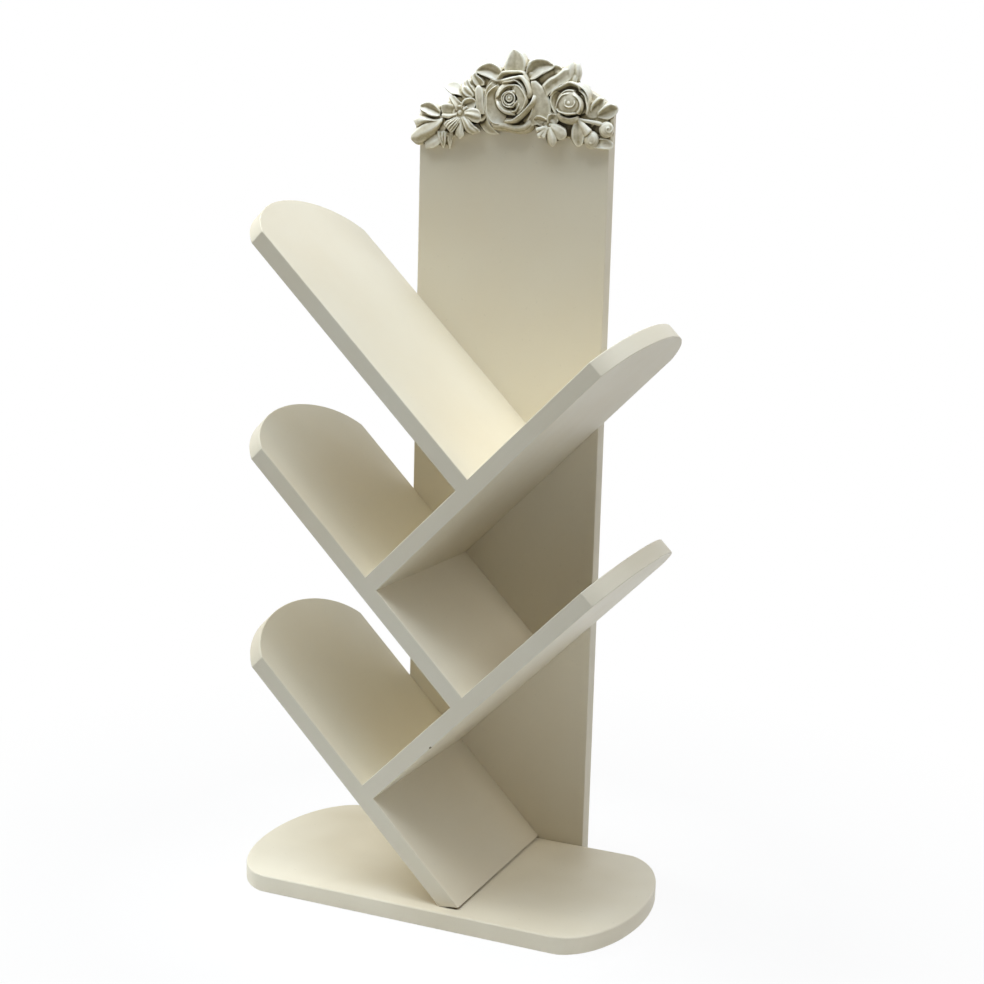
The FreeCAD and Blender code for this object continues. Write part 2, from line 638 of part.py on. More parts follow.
pieces.append(make_screws("base_screws", "sizes.screw_length", 3, "sizes.base_screw_pitch", "X_Axis",
                          INTO_BACK, "(-sizes.base_screw_pitch)", BACK, "(sizes.base_thickness / 2)"))
sunk = f"(sizes.foot_screw_sunk * {SLANT})"
pieces.append(make_screws("foot_screws", "sizes.foot_screw_length", 2, "sizes.foot_screw_spacing", "Y_Axis",
                          Rotation(Vector(0, 1, 0), 180 - LEAN), f"({FOOT_ENTRY_X} - {sunk})",
                          f"({FACE} - {FOOT_MIDDLE} - sizes.foot_screw_spacing / 2)", sunk))
pieces.append(make_garland())

doc.recompute()
for item in doc.Objects:
    if {"Invalid", "Error"} & set(item.State):
        raise ValueError(f"{item.Label} failed: {item.State}")
for piece in pieces:
    if piece.Shape.isNull() or not piece.Shape.isValid():
        raise ValueError(f"{piece.Label} has no valid shape")

os.makedirs("parts", exist_ok=True)
for piece in pieces:
    box = piece.Shape.optimalBoundingBox()
    low = f"{box.XMin:.1f} {box.YMin:.1f} {box.ZMin:.1f}"
    high = f"{box.XMax:.1f} {box.YMax:.1f} {box.ZMax:.1f}"
    count = len(piece.Shape.Solids)
    print(f"{piece.Label:22s} solids {count}  volume {piece.Shape.Volume:9.0f}  from {low} to {high}")
    piece.Shape.exportStep(f"parts/{piece.Label}.step")
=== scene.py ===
# %% [markdown]
# # A desktop book rack with a rose garland
# Five boards lean at 45 degrees, left and right in turn, and each stands on the one below, so that
# books rest in the vees. A tall panel carries them from behind, and a wide board with oval ends is
# the foot. Everything is painted in a warm ivory. A cast garland of roses is fixed along the head.
#
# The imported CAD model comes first. It is the fixed frame: every piece made here takes its place
# from it, in metres, and stands for one of its nodes.

# %% Load the frame
import math
from functools import partial

import bmesh
import bpy
import numpy
from mathutils import Matrix, Vector


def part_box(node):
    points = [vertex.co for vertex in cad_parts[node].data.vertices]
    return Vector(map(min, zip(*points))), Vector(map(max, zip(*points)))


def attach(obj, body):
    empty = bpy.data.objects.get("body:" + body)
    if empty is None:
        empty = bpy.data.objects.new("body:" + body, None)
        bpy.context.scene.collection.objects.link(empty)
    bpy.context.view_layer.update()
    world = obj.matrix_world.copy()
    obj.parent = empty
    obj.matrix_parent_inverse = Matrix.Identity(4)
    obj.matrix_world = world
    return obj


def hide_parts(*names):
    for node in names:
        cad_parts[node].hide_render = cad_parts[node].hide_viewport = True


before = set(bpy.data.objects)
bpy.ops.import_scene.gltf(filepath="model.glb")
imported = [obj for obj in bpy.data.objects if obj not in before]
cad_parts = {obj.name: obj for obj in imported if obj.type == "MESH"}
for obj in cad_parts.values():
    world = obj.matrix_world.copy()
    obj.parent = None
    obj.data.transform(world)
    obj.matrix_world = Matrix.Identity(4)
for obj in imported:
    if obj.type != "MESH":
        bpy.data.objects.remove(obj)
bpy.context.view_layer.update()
scene = bpy.context.scene
scene.view_settings.view_transform = "Standard"
MM = 0.001
print("nodes in the frame:", len(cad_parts))

# %% Read the main lines of the rack from the frame
base_low, base_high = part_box("base_board")
panel_low, panel_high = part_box("back_panel")
base_top = base_high.z
panel_face = panel_low.y
panel_back = panel_high.y
print("base top", round(base_top / MM, 2), "mm; panel face at y", round(panel_face / MM, 2), "mm")

# %% [markdown]
# ## The camera
# A photograph fixes the camera: how far round it stands, how high, how much it is tilted and how
# long its lens is. The three angles below turn into the three axes of the camera's own frame. The
# camera looks down its own -Z, so the axis named away points from the target back to the lens.

# %% Place the camera
AZIMUTH, ELEVATION, ROLL = (math.radians(angle) for angle in (23.17, 9.84, 1.57))
TARGET, DISTANCE = Vector((-0.00843, 0.07275, 0.2787)), 1.24057
FOCAL_LENGTH, SENSOR_WIDTH = 60.15, 36
away = Vector((math.sin(AZIMUTH) * math.cos(ELEVATION),
               -math.cos(AZIMUTH) * math.cos(ELEVATION),
               math.sin(ELEVATION)))
camera_place = TARGET + away * DISTANCE
level_right = (-away).cross(Vector((0, 0, 1))).normalized()
level_up = level_right.cross(-away)
camera_right = math.cos(ROLL) * level_right + math.sin(ROLL) * level_up
camera_up = math.cos(ROLL) * level_up - math.sin(ROLL) * level_right
camera_data = bpy.data.cameras.new("camera")
camera_data.lens = FOCAL_LENGTH
camera_data.sensor_width = SENSOR_WIDTH
camera = bpy.data.objects.new("camera", camera_data)
axes = Matrix((camera_right, camera_up, away)).transposed().to_4x4()
camera.matrix_world = Matrix.Translation(camera_place) @ axes
scene.collection.objects.link(camera)
scene.camera = camera
print("camera at", [round(value, 3) for value in camera_place])

# %% [markdown]
# ## Helpers for materials
# A procedural material is a small graph of nodes. These helpers keep the graphs short: they make a
# node and fill in its inputs, make a noise, turn it into a colour, and dress the shader. The noise
# reads Object coordinates, because every piece here sits at the origin, so that a pattern stays
# where it is on the real object.

# %% Nodes and colours
def tint(value):
    """A colour in the linear values that the shader needs, from six digits or from a grey level."""
    if not isinstance(value, str):
        return (value, value, value, 1.0)
    parts = [int(value[place:place + 2], 16) / 255 for place in (0, 2, 4)]
    return tuple(v / 12.92 if v <= 0.04045 else ((v + 0.055) / 1.055) ** 2.4 for v in parts) + (1.0,)


def plug(tree, value, socket):
    """Links a socket to another one, or sets it to a plain value."""
    if isinstance(value, bpy.types.NodeSocket):
        tree.links.new(value, socket)
    else:
        socket.default_value = value


def add_node(tree, kind, settings=(), **inputs):
    """A node of that kind. Inputs are given by name, with _ for a space, as a value or a socket."""
    node = tree.nodes.new(kind)
    for name, value in dict(settings).items():
        setattr(node, name, value)
    for name, value in inputs.items():
        plug(tree, value, node.inputs[name.replace("_", " ")])
    return node


def calculate(tree, operation, *values):
    """One step of arithmetic in a tree, as a socket."""
    node = add_node(tree, "ShaderNodeMath", {"operation": operation})
    for socket, value in zip(node.inputs, values):
        plug(tree, value, socket)
    return node.outputs[0]


print("plain ivory in linear values:", [round(v, 3) for v in tint("e7dfca")])

# %% Noises, ramps and the shader
def object_noise(tree, scale, detail=2.0, stretch=(1, 1, 1), turn=(0, 0, 0)):
    """A noise on Object coordinates. Stretch squeezes it along an axis; turn lays it along a board."""
    place = add_node(tree, "ShaderNodeTexCoord").outputs["Object"]
    laid = add_node(tree, "ShaderNodeMapping", Vector=place, Rotation=turn, Scale=stretch)
    return add_node(tree, "ShaderNodeTexNoise", Vector=laid.outputs["Vector"],
                    Scale=scale, Detail=detail).outputs["Fac"]


def ramp(tree, factor, *stops):
    """A colour ramp; each stop is its place and its colour, or a grey level."""
    node = add_node(tree, "ShaderNodeValToRGB", Fac=factor)
    band = node.color_ramp
    while len(band.elements) < len(stops):
        band.elements.new(1.0)
    for element, (place, colour) in zip(band.elements, stops):
        element.position = place
        element.color = tint(colour)
    return node.outputs["Color"]


def blend_colours(tree, factor, first, second):
    """A mix of two colours. A Mix node keeps its colour inputs behind those of its other types."""
    node = add_node(tree, "ShaderNodeMix", {"data_type": "RGBA"})
    plug(tree, factor, node.inputs[0])
    for index, colour in ((6, first), (7, second)):
        plug(tree, tint(colour) if isinstance(colour, str) else colour, node.inputs[index])
    return node.outputs[2]


def new_material(name):
    """An empty material, and its tree, which already holds a shader."""
    material = bpy.data.materials.new(name)
    material.use_nodes = True
    return material, material.node_tree


def dress(tree, *bumps, **inputs):
    """Fills in the shader's inputs by name, and gives the shader. Bumps lie one over the other, and
    each is a height, its strength and how far it stands out."""
    for height, strength, distance in bumps:
        below = {"Normal": inputs["Normal"]} if "Normal" in inputs else {}
        bump = add_node(tree, "ShaderNodeBump", Height=height, Strength=strength, Distance=distance, **below)
        inputs["Normal"] = bump.outputs["Normal"]
    shader = tree.nodes["Principled BSDF"]
    for name, value in inputs.items():
        plug(tree, value, shader.inputs[name.replace("_", " ")])
    return shader


print("material helpers ready")

# %% [markdown]
# ## The ivory paint
# The boards are wood fibre board under several coats of satin paint. Three things show at arm's
# length: a faint cloudiness in the colour, the pebbled skin that a roller leaves, and long soft
# strokes along each board. The first goes into the colour, the other two into roughness and bump.
# The strokes run along the board, so each way of leaning gets its own copy of the material. The
# base's copy is lighter, which is painted light for what the table throws back onto it.

# %% Ivory paint
IVORY, WARM_IVORY, DUSTY_IVORY = "e7dfca", "e3d8bf", "d9d0ba"
# The base's paint is lighter than the boards': this is painted light, for the light the table throws back
# onto the base.
BASE_IVORY_WITH_PAINTED_LIGHT = "f7efda"


def ivory_paint(name, lean, shade=IVORY):
    """Satin ivory paint whose strokes run along a board that leans by that angle about Y."""
    material, tree = new_material(name)
    cloud = object_noise(tree, 7.0, detail=3.0)
    fleck = object_noise(tree, 420.0, detail=1.0)
    stroke = object_noise(tree, 60.0, detail=4.0, stretch=(0.12, 1, 1), turn=(0, lean, 0))
    pebble = object_noise(tree, 900.0)
    body = blend_colours(tree, ramp(tree, cloud, (0.35, 0), (0.7, 1)), shade, WARM_IVORY)
    speck = ramp(tree, fleck, (0.74, 0), (0.80, 0.5))
    dress(tree, (stroke, 0.10, 0.6 * MM), (pebble, 0.12, 0.2 * MM),
          Base_Color=blend_colours(tree, speck, body, DUSTY_IVORY),
          Roughness=ramp(tree, stroke, (0.25, 0.40), (0.75, 0.52)),
          Specular_IOR_Level=0.4)
    return material


LEAN = math.pi / 4
paint_upright = ivory_paint("ivory_paint_upright", math.pi / 2)
# The base gets the lighter paint, which is painted light.
paint_level_with_painted_light = ivory_paint("ivory_paint_level", 0.0, BASE_IVORY_WITH_PAINTED_LIGHT)
paint_right = ivory_paint("ivory_paint_leaning_right", LEAN)
paint_left = ivory_paint("ivory_paint_leaning_left", -LEAN)
print("paints:", [m.name for m in (paint_upright, paint_level_with_painted_light, paint_right, paint_left)])

# %% [markdown]
# ## Boards by one rule
# All seven boards are the same kind of thing: a plank whose ends are cut square, or to an oval
# drawn with one template. Geometry Nodes suit a shape that follows a rule. The tree starts with a
# flat grid, two points long and many across. Each row of it is stretched from the start line to
# the end line, and those bulge out by an oval where the board has one. Then the sheet is given
# its thickness, and a second copy, turned over, closes the underside.

# %% Geometry Nodes helpers
def new_geometry_tree(name, numbers):
    """A tree with one geometry input and output, a Material input and the named number inputs. Gives
    the tree, the two helpers that add a node or a step of arithmetic to it, and its inputs."""
    tree = bpy.data.node_groups.new(name, "GeometryNodeTree")
    tree.interface.new_socket("Geometry", in_out="INPUT", socket_type="NodeSocketGeometry")
    tree.interface.new_socket("Geometry", in_out="OUTPUT", socket_type="NodeSocketGeometry")
    tree.interface.new_socket("Material", in_out="INPUT", socket_type="NodeSocketMaterial")
    for label in numbers:
        tree.interface.new_socket(label, in_out="INPUT", socket_type="NodeSocketFloat")
    given = tree.nodes.new("NodeGroupInput").outputs
    return tree, partial(add_node, tree), partial(calculate, tree), given


def join(tree, *parts):
    """All those parts as one geometry."""
    node = tree.nodes.new("GeometryNodeJoinGeometry")
    for part in parts:
        tree.links.new(part, node.inputs[0])
    return node.outputs[0]


def finish_tree(tree, given, geometry):
    """Ends a tree: instances become real mesh, and it gets its material."""
    real = add_node(tree, "GeometryNodeRealizeInstances", Geometry=geometry)
    coated = add_node(tree, "GeometryNodeSetMaterial", Geometry=real.outputs[0], Material=given["Material"])
    tree.links.new(coated.outputs[0], tree.nodes.new("NodeGroupOutput").inputs["Geometry"])
    print(tree.name, "tree:", len(tree.nodes), "nodes")


def with_modifiers(name, mesh, *modifiers):
    """The mesh as it comes out of those modifiers, each given by its kind and its settings."""
    worker = bpy.data.objects.new(name, mesh)
    scene.collection.objects.link(worker)
    for kind, settings in modifiers:
        modifier = worker.modifiers.new(kind.lower(), kind)
        for key, value in settings.items():
            if hasattr(modifier, key):
                setattr(modifier, key, value)
            else:
                modifier[key] = value
    graph = bpy.context.evaluated_depsgraph_get()
    made = bpy.data.meshes.new_from_object(worker.evaluated_get(graph), depsgraph=graph)
    bpy.data.objects.remove(worker)
    made.name = name
    return made


def run_tree(tree, name, start_mesh, values, *more_modifiers):
    """Runs a tree on a mesh, with values by the names of its inputs, and then the other modifiers."""
    settings = {item.identifier: values[item.name] for item in tree.interface.items_tree
                if item.in_out == "INPUT" and item.name in values}
    return with_modifiers(name, start_mesh, ("NODES", {"node_group": tree, **settings}), *more_modifiers)


print("Geometry Nodes helpers ready")

# %% The tree for a board
ROWS_ACROSS = 121
board_tree, node, maths, given = new_geometry_tree("board", [
    "Start", "Start Bulge", "End", "End Bulge", "Oval Half Width", "Oval Shift", "Depth", "Thickness"])
sheet = node("GeometryNodeMeshGrid", Size_X=1.0, Size_Y=given["Depth"], Vertices_X=2, Vertices_Y=ROWS_ACROSS)
place = node("ShaderNodeSeparateXYZ", Vector=node("GeometryNodeInputPosition").outputs[0]).outputs
share = maths("ADD", place["X"], 0.5)
across = maths("DIVIDE", maths("SUBTRACT", place["Y"], given["Oval Shift"]), given["Oval Half Width"])
oval = maths("SQRT", maths("SUBTRACT", 1.0, maths("MULTIPLY", across, across)))
start_line = maths("SUBTRACT", given["Start"], maths("MULTIPLY", given["Start Bulge"], oval))
end_line = maths("ADD", given["End"], maths("MULTIPLY", given["End Bulge"], oval))
along = maths("ADD", start_line, maths("MULTIPLY", share, maths("SUBTRACT", end_line, start_line)))
underside = node("ShaderNodeCombineXYZ", X=along, Y=place["Y"], Z=maths("MULTIPLY", given["Thickness"], -1.0))
laid = node("GeometryNodeSetPosition", Geometry=sheet.outputs["Mesh"],
            Position=underside.outputs[0]).outputs[0]
rise = node("ShaderNodeCombineXYZ", Z=given["Thickness"])
raised = node("GeometryNodeExtrudeMesh", Mesh=laid, Offset=rise.outputs[0], Offset_Scale=1.0,
              Individual=False)
turned_over = node("GeometryNodeFlipFaces", Mesh=laid)
both = join(board_tree, raised.outputs["Mesh"], turned_over.outputs[0])
closed = node("GeometryNodeMergeByDistance", Geometry=both, Distance=0.001 * MM)
finish_tree(board_tree, given, closed.outputs[0])

# %% [markdown]
# A board comes off the saw with sharp edges and has them broken with paper before it is painted.
# A Bevel modifier after the tree does that, with an angle limit, so that it finds the true edges
# and leaves the small steps round the oval alone. Weighted normals keep the flat faces flat in
# the shading, right up to the rounded edge.

# %% Make and place a board
ARRIS_STEPS, CORNER_ANGLE = 3, math.radians(24)


def make_board(name, material, place, arris, **sizes):
    """A board as a plain mesh, in its place. Sizes are the tree's inputs, in metres."""
    values = {"Material": material, "Start": 0.0, "Start Bulge": 0.0, "Oval Shift": 0.0}
    values.update({key.replace("_", " "): value for key, value in sizes.items()})
    mesh = run_tree(board_tree, name, bpy.data.meshes.new(name), values, ("BEVEL", {
        "width": arris, "segments": ARRIS_STEPS, "limit_method": "ANGLE", "angle_limit": CORNER_ANGLE}))
    mesh.transform(place)
    return mesh


def cut_away(mesh, cutter):
    """The mesh less the cutter, by a Boolean modifier."""
    tool = bpy.data.objects.new("cutter", cutter)
    scene.collection.objects.link(tool)
    made = with_modifiers("cut", mesh, ("BOOLEAN", {
        "operation": "DIFFERENCE", "solver": "EXACT", "material_mode": "TRANSFER", "object": tool}))
    bpy.data.objects.remove(tool)
    return made


def saw_off(mesh, place, outward, sawn_face_material=None):
    """Takes away what lies beyond a plane through that place, and closes the cut. When a material is
    given, the sawn face gets that one. At the foot it is dark unpainted board, which also paints shade
    into the gap under it."""
    shape = bmesh.new()
    shape.from_mesh(mesh)
    cut = bmesh.ops.bisect_plane(shape, geom=[*shape.verts, *shape.edges, *shape.faces], clear_outer=True,
                                 plane_co=place, plane_no=outward)
    sawn_edges = [item for item in cut["geom_cut"] if isinstance(item, bmesh.types.BMEdge)]
    sawn_faces = bmesh.ops.edgeloop_fill(shape, edges=sawn_edges)["faces"]
    if sawn_face_material:
        for face in sawn_faces:
            face.material_index = len(mesh.materials)
        mesh.materials.append(sawn_face_material)
    bmesh.ops.recalc_face_normals(shape, faces=shape.faces)
    shape.to_mesh(mesh)
    shape.free()


def to_mesh(name, shape):
    """Turns a bmesh shape into a plain mesh and frees it."""
    mesh = bpy.data.meshes.new(name)
    shape.to_mesh(mesh)
    shape.free()
    return mesh


def smooth_shaded(mesh, angle=40):
    """Smooth shading with crisp edges past the angle, and flat faces kept flat."""
    mesh.polygons.foreach_set("use_smooth", [True] * len(mesh.polygons))
    mesh.set_sharp_from_angle(angle=math.radians(angle))
    return with_modifiers("shaded", mesh, ("WEIGHTED_NORMAL", {"keep_sharp": True}))


def add_piece(name, mesh, slot, *nodes):
    """Puts a finished mesh in the scene, on the rack, in place of its CAD nodes."""
    mesh.name = name
    piece = bpy.data.objects.new(name, mesh)
    scene.collection.objects.link(piece)
    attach(piece, "root")
    if nodes:
        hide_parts(*nodes)
    print(f"{name}: {sum(len(face.vertices) - 2 for face in mesh.polygons)} triangles")


print("board helpers ready")

# %% [markdown]
# ## Where the shelves stand
# The corners of the zigzag lie alternately left and right of the middle, each a board's step
# above the last. A shelf's own frame has its joint at the origin, its run along X and its upper
# face at Z = 0, and is turned by 45 degrees about Y. A shelf that leans to the left is the same
# board turned round, so its run points the other way.

# %% Shelf sizes and places
SHELF_DEPTH, SHELF_THICKNESS, SHELF_LENGTH, FOOT_SHELF_LENGTH = 149 * MM, 12 * MM, 252 * MM, 255 * MM
SHELF_BULGE, OVAL_HALF_WIDTH, SHELF_ARRIS = 46 * MM, 79.25 * MM, 0.6 * MM
CORNER_X, FIRST_CORNER_Z = 37.25 * MM, 90 * MM
LEFT, RIGHT = -1, 1
DIAGONAL = math.sqrt(0.5)
SHELF_PLACES = {
    "lower_left_shelf": (LEFT, FIRST_CORNER_Z - base_top - CORNER_X, base_top),
    "lower_right_shelf": (RIGHT, -CORNER_X, FIRST_CORNER_Z),
    "middle_left_shelf": (LEFT, CORNER_X, FIRST_CORNER_Z + 2 * CORNER_X),
    "upper_right_shelf": (RIGHT, -CORNER_X, FIRST_CORNER_Z + 4 * CORNER_X),
    "upper_left_shelf": (LEFT, CORNER_X, FIRST_CORNER_Z + 6 * CORNER_X),
}


def run_of(side):
    """The direction in which a shelf runs up from its joint."""
    return Vector((side * DIAGONAL, 0, DIAGONAL))


def make_shelf(name, length, start):
    """A shelf of that length in its place, from a start that lies before its joint."""
    side, x, z = SHELF_PLACES[name]
    run, up = run_of(side), Vector((-side * DIAGONAL, 0, DIAGONAL))
    turned = Matrix((run, up.cross(run), up)).transposed().to_4x4()
    return make_board(name, paint_right if side == RIGHT else paint_left,
                      Matrix.Translation((x, panel_face - SHELF_DEPTH / 2, z)) @ turned, SHELF_ARRIS,
                      Depth=SHELF_DEPTH, Thickness=SHELF_THICKNESS, Start=start, End=length - SHELF_BULGE,
                      End_Bulge=SHELF_BULGE, Oval_Half_Width=OVAL_HALF_WIDTH)


print("top corner at", [round(v / MM, 2) for v in SHELF_PLACES["upper_left_shelf"][1:]], "mm")

# %% [markdown]
# The joints were filled and painted over, so no seam shows between the front edges. Each board is
# therefore sawn off a hair late, where the rounding of the board below ends, and fills that groove.

# %% Make the four upper shelves
SPARE = 4 * MM
boards = {}
for name, (side, x, z) in SHELF_PLACES.items():
    if name != "lower_left_shelf":
        boards[name] = make_shelf(name, SHELF_LENGTH, -SPARE)
        saw_off(boards[name], Vector((x, 0, z)) - run_of(side) * SHELF_ARRIS, -run_of(side))
print("sawn:", ", ".join(boards))

# %% [markdown]
# One small bruise sits on the lower front edge of the lowest shelf that leans to the right. The
# paint is gone there: a ball is cut out of the edge, and the cut gets the ball's own material,
# which is bare board.

# %% A bruise, and four finished shelves
# Unpainted board. In the bruise it is real wear. At the foot it is also painted shade in the gap.
bare_board_and_gap_shade, tree = new_material("bare_fibre_board_and_gap_shade")
fibres = object_noise(tree, 1600.0, detail=4.0)
dress(tree, Base_Color=ramp(tree, fibres, (0.3, "81735a"), (0.7, "998b70")),
      Roughness=0.9)
BRUISE_X, BRUISE_RADIUS, BRUISE_FORWARD = 15 * MM, 1.3 * MM, 0.5 * MM
level_cut = SHELF_THICKNESS / DIAGONAL
_, x, z = SHELF_PLACES["lower_right_shelf"]
bruise_place = Vector((BRUISE_X, panel_face - SHELF_DEPTH - BRUISE_FORWARD, z + (BRUISE_X - x) - level_cut))
ball = bmesh.new()
bmesh.ops.create_icosphere(ball, subdivisions=3, radius=BRUISE_RADIUS,
                           matrix=Matrix.Translation(bruise_place))
bruise = to_mesh("bruise", ball)
bruise.materials.append(bare_board_and_gap_shade)
boards["lower_right_shelf"] = cut_away(boards["lower_right_shelf"], bruise)
for name, board in boards.items():
    add_piece(name + "_painted", smooth_shaded(board), "painted_board", name)

# %% [markdown]
# The lowest shelf stands on the base, so its foot is sawn level. On the real rack the saw cut is
# not quite true: the foot rests on its left edge and the right edge stands a hair off the base,
# which shows as a dark line. The board is made longer, and the same saw cuts it at a slant.
# The sawn face gets the dark unpainted board colour, which also serves as painted shade that deepens that
# line.

# %% Make the lowest shelf, with its level foot
FOOT_SPARE, FOOT_GAP = 20 * MM, 2.1 * MM
foot_board = make_shelf("lower_left_shelf", FOOT_SHELF_LENGTH, -FOOT_SPARE)
foot_right = SHELF_PLACES["lower_left_shelf"][1]
foot_left = foot_right - level_cut
slope = Vector((foot_right - foot_left, 0, FOOT_GAP)).normalized()
# At the foot, the dark unpainted board is also painted shade in the gap.
saw_off(foot_board, (foot_left, 0, base_top), (slope.z, 0, -slope.x), bare_board_and_gap_shade)
add_piece("lower_left_shelf_painted", smooth_shaded(foot_board), "painted_board", "lower_left_shelf")
print("foot stands from x", round(foot_left / MM, 2), "to", round(foot_right / MM, 2), "mm")

# %% [markdown]
# ## Screws
# Wood screws come from behind through the panel into the back edge of every shelf and of the
# base, and two more go up at a slant into the foot. Fifteen copies of one screw are a job for
# instances: the tree builds the screw once, turns a copy along each point's aim, and makes them
# real. The places come from the frame's own screws: a node's box ends one head radius past the
# outermost screws.

# %% Places and directions of the screws
HEAD_RADIUS, SHANK_RADIUS, HEAD_CONE, TIP, THREAD_PITCH = 3.5 * MM, 1.75 * MM, 1.75 * MM, 5 * MM, 1.6 * MM
PANEL_SCREW_LENGTH, FOOT_SCREW_LENGTH, HEAD_PLAY, SUNK_BY = 35 * MM, 40 * MM, 0.05 * MM, 0.1 * MM
INTO_PANEL, INTO_FOOT = Vector((0, -1, 0)), run_of(LEFT)
panel_screws = []
for name, (side, x, z) in SHELF_PLACES.items():
    low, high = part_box(name.replace("_shelf", "_screws"))
    inner_x, outer_x = (low.x + HEAD_RADIUS, high.x - HEAD_RADIUS)[::side]
    panel_screws.append(Vector((inner_x, panel_back, low.z + HEAD_RADIUS)))
    panel_screws.append(Vector((outer_x, panel_back, high.z - HEAD_RADIUS)))
low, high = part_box("base_screws")
for share in (0.0, 0.5, 1.0):
    panel_screws.append(Vector((low.x + HEAD_RADIUS + share * (high.x - low.x - 2 * HEAD_RADIUS),
                                panel_back, (low.z + high.z) / 2)))
low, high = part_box("foot_screws")
foot_screws = [Vector((high.x - HEAD_RADIUS * DIAGONAL, y, low.z + HEAD_RADIUS * DIAGONAL))
               for y in (low.y + HEAD_RADIUS, high.y - HEAD_RADIUS)]
print(len(panel_screws), "panel screws and", len(foot_screws), "foot screws")

# %% The tree for the screws
HEAD_SIDES, SHANK_SIDES, STEPS_PER_TURN, RIDGE_SIDES, RIDGE_SHARE = 40, 32, 20, 6, 0.18
screw_tree, node, maths, given = new_geometry_tree("screws", [
    "Head Radius", "Shank Radius", "Head Cone", "Length", "Tip", "Thread Pitch"])


def lifted(geometry, height):
    """Sets a part of the screw that high above its head."""
    rise = node("ShaderNodeCombineXYZ", Z=height)
    return node("GeometryNodeTransform", Geometry=geometry, Translation=rise.outputs[0]).outputs[0]


head = node("GeometryNodeMeshCone", Vertices=HEAD_SIDES, Radius_Top=given["Shank Radius"],
            Radius_Bottom=given["Head Radius"], Depth=given["Head Cone"])
straight = maths("SUBTRACT", maths("SUBTRACT", given["Length"], given["Tip"]), given["Head Cone"])
shank = node("GeometryNodeMeshCylinder", Vertices=SHANK_SIDES, Radius=given["Shank Radius"], Depth=straight)
shank_middle = maths("ADD", given["Head Cone"], maths("MULTIPLY", straight, 0.5))
tip = node("GeometryNodeMeshCone", Vertices=SHANK_SIDES, Radius_Top=0.0,
           Radius_Bottom=given["Shank Radius"], Depth=given["Tip"])
tip_start = maths("SUBTRACT", given["Length"], given["Tip"])
thread_path = node("GeometryNodeCurveSpiral", Resolution=STEPS_PER_TURN, Height=straight,
                   Rotations=maths("DIVIDE", straight, given["Thread Pitch"]),
                   Start_Radius=given["Shank Radius"], End_Radius=given["Shank Radius"])
ridge = node("GeometryNodeCurvePrimitiveCircle", Resolution=RIDGE_SIDES,
             Radius=maths("MULTIPLY", given["Thread Pitch"], RIDGE_SHARE))
thread = node("GeometryNodeCurveToMesh", Curve=lifted(thread_path.outputs[0], given["Head Cone"]),
              Profile_Curve=ridge.outputs[0], Fill_Caps=True)

# %% [markdown]
# The cross recess is two bars that cross, cut out of the head. The bars overlap, so the Boolean
# is told to expect that, and it uses the exact solver, because the fast one leaves the head whole.

# %% The cross recess, and a copy at every point
BAR_LENGTH, BAR_WIDTH, BAR_DEPTH = 1.0, 0.24, 0.8  # as shares of the head's radius
arms = []
for long_way, short_way in (("X", "Y"), ("Y", "X")):
    bar = {axis: maths("MULTIPLY", given["Head Radius"], share)
           for axis, share in ((long_way, BAR_LENGTH), (short_way, BAR_WIDTH), ("Z", BAR_DEPTH))}
    size = node("ShaderNodeCombineXYZ", **bar)
    arms.append(node("GeometryNodeMeshCube", Size=size.outputs[0]).outputs["Mesh"])
crossed = node("GeometryNodeMeshBoolean", {"operation": "DIFFERENCE", "solver": "EXACT"},
               Self_Intersection=True, Mesh_1=head.outputs["Mesh"], Mesh_2=join(screw_tree, *arms))
one_screw = join(screw_tree, crossed.outputs["Mesh"], lifted(shank.outputs["Mesh"], shank_middle),
                 lifted(tip.outputs["Mesh"], tip_start), thread.outputs[0])
aim = node("GeometryNodeInputNamedAttribute", {"data_type": "FLOAT_VECTOR"}, Name="aim")
turned = node("FunctionNodeAlignRotationToVector", {"axis": "Z"}, Vector=aim.outputs["Attribute"])
copies = node("GeometryNodeInstanceOnPoints", Points=given["Geometry"], Instance=one_screw,
              Rotation=turned.outputs[0])
finish_tree(screw_tree, given, copies.outputs[0])

# %% [markdown]
# Bright zinc steel is a light grey metal with a faint blue cast. The heads carry fine marks from
# turning and a little dullness where a driver has rubbed them. Whatever lies deeper than the face of
# the heads is painted darker: partly grease in the cross recess and partly painted shade in it.

# %% Screw steel, and the screws themselves
screw_steel, tree = new_material("zinc_steel")
rubbed = object_noise(tree, 700.0, detail=4.0)
bright = ramp(tree, rubbed, (0.3, "9a9da0"), (0.7, "b6b8ba"))
spot = add_node(tree, "ShaderNodeTexCoord").outputs["Object"]
depth = add_node(tree, "ShaderNodeSeparateXYZ", Vector=spot).outputs["Y"]
# Below the head's face the steel is painted dark, as grease and painted shade. The slanted screws lie wholly
# deeper than that face, so they are dark all over.
GREASE_AND_SHADE_DEPTH, CLEAN_AND_LIT_DEPTH = 0.6 * MM, 0.2 * MM
clean_and_lit = add_node(tree, "ShaderNodeMapRange", Value=depth, From_Min=panel_back - GREASE_AND_SHADE_DEPTH,
                 From_Max=panel_back - CLEAN_AND_LIT_DEPTH).outputs[0]
dress(tree, (rubbed, 0.15, 0.1 * MM), Metallic=1.0,
      Base_Color=blend_colours(tree, clean_and_lit, "2b2a28", bright),
      Roughness=ramp(tree, rubbed, (0.3, 0.28), (0.7, 0.45)))


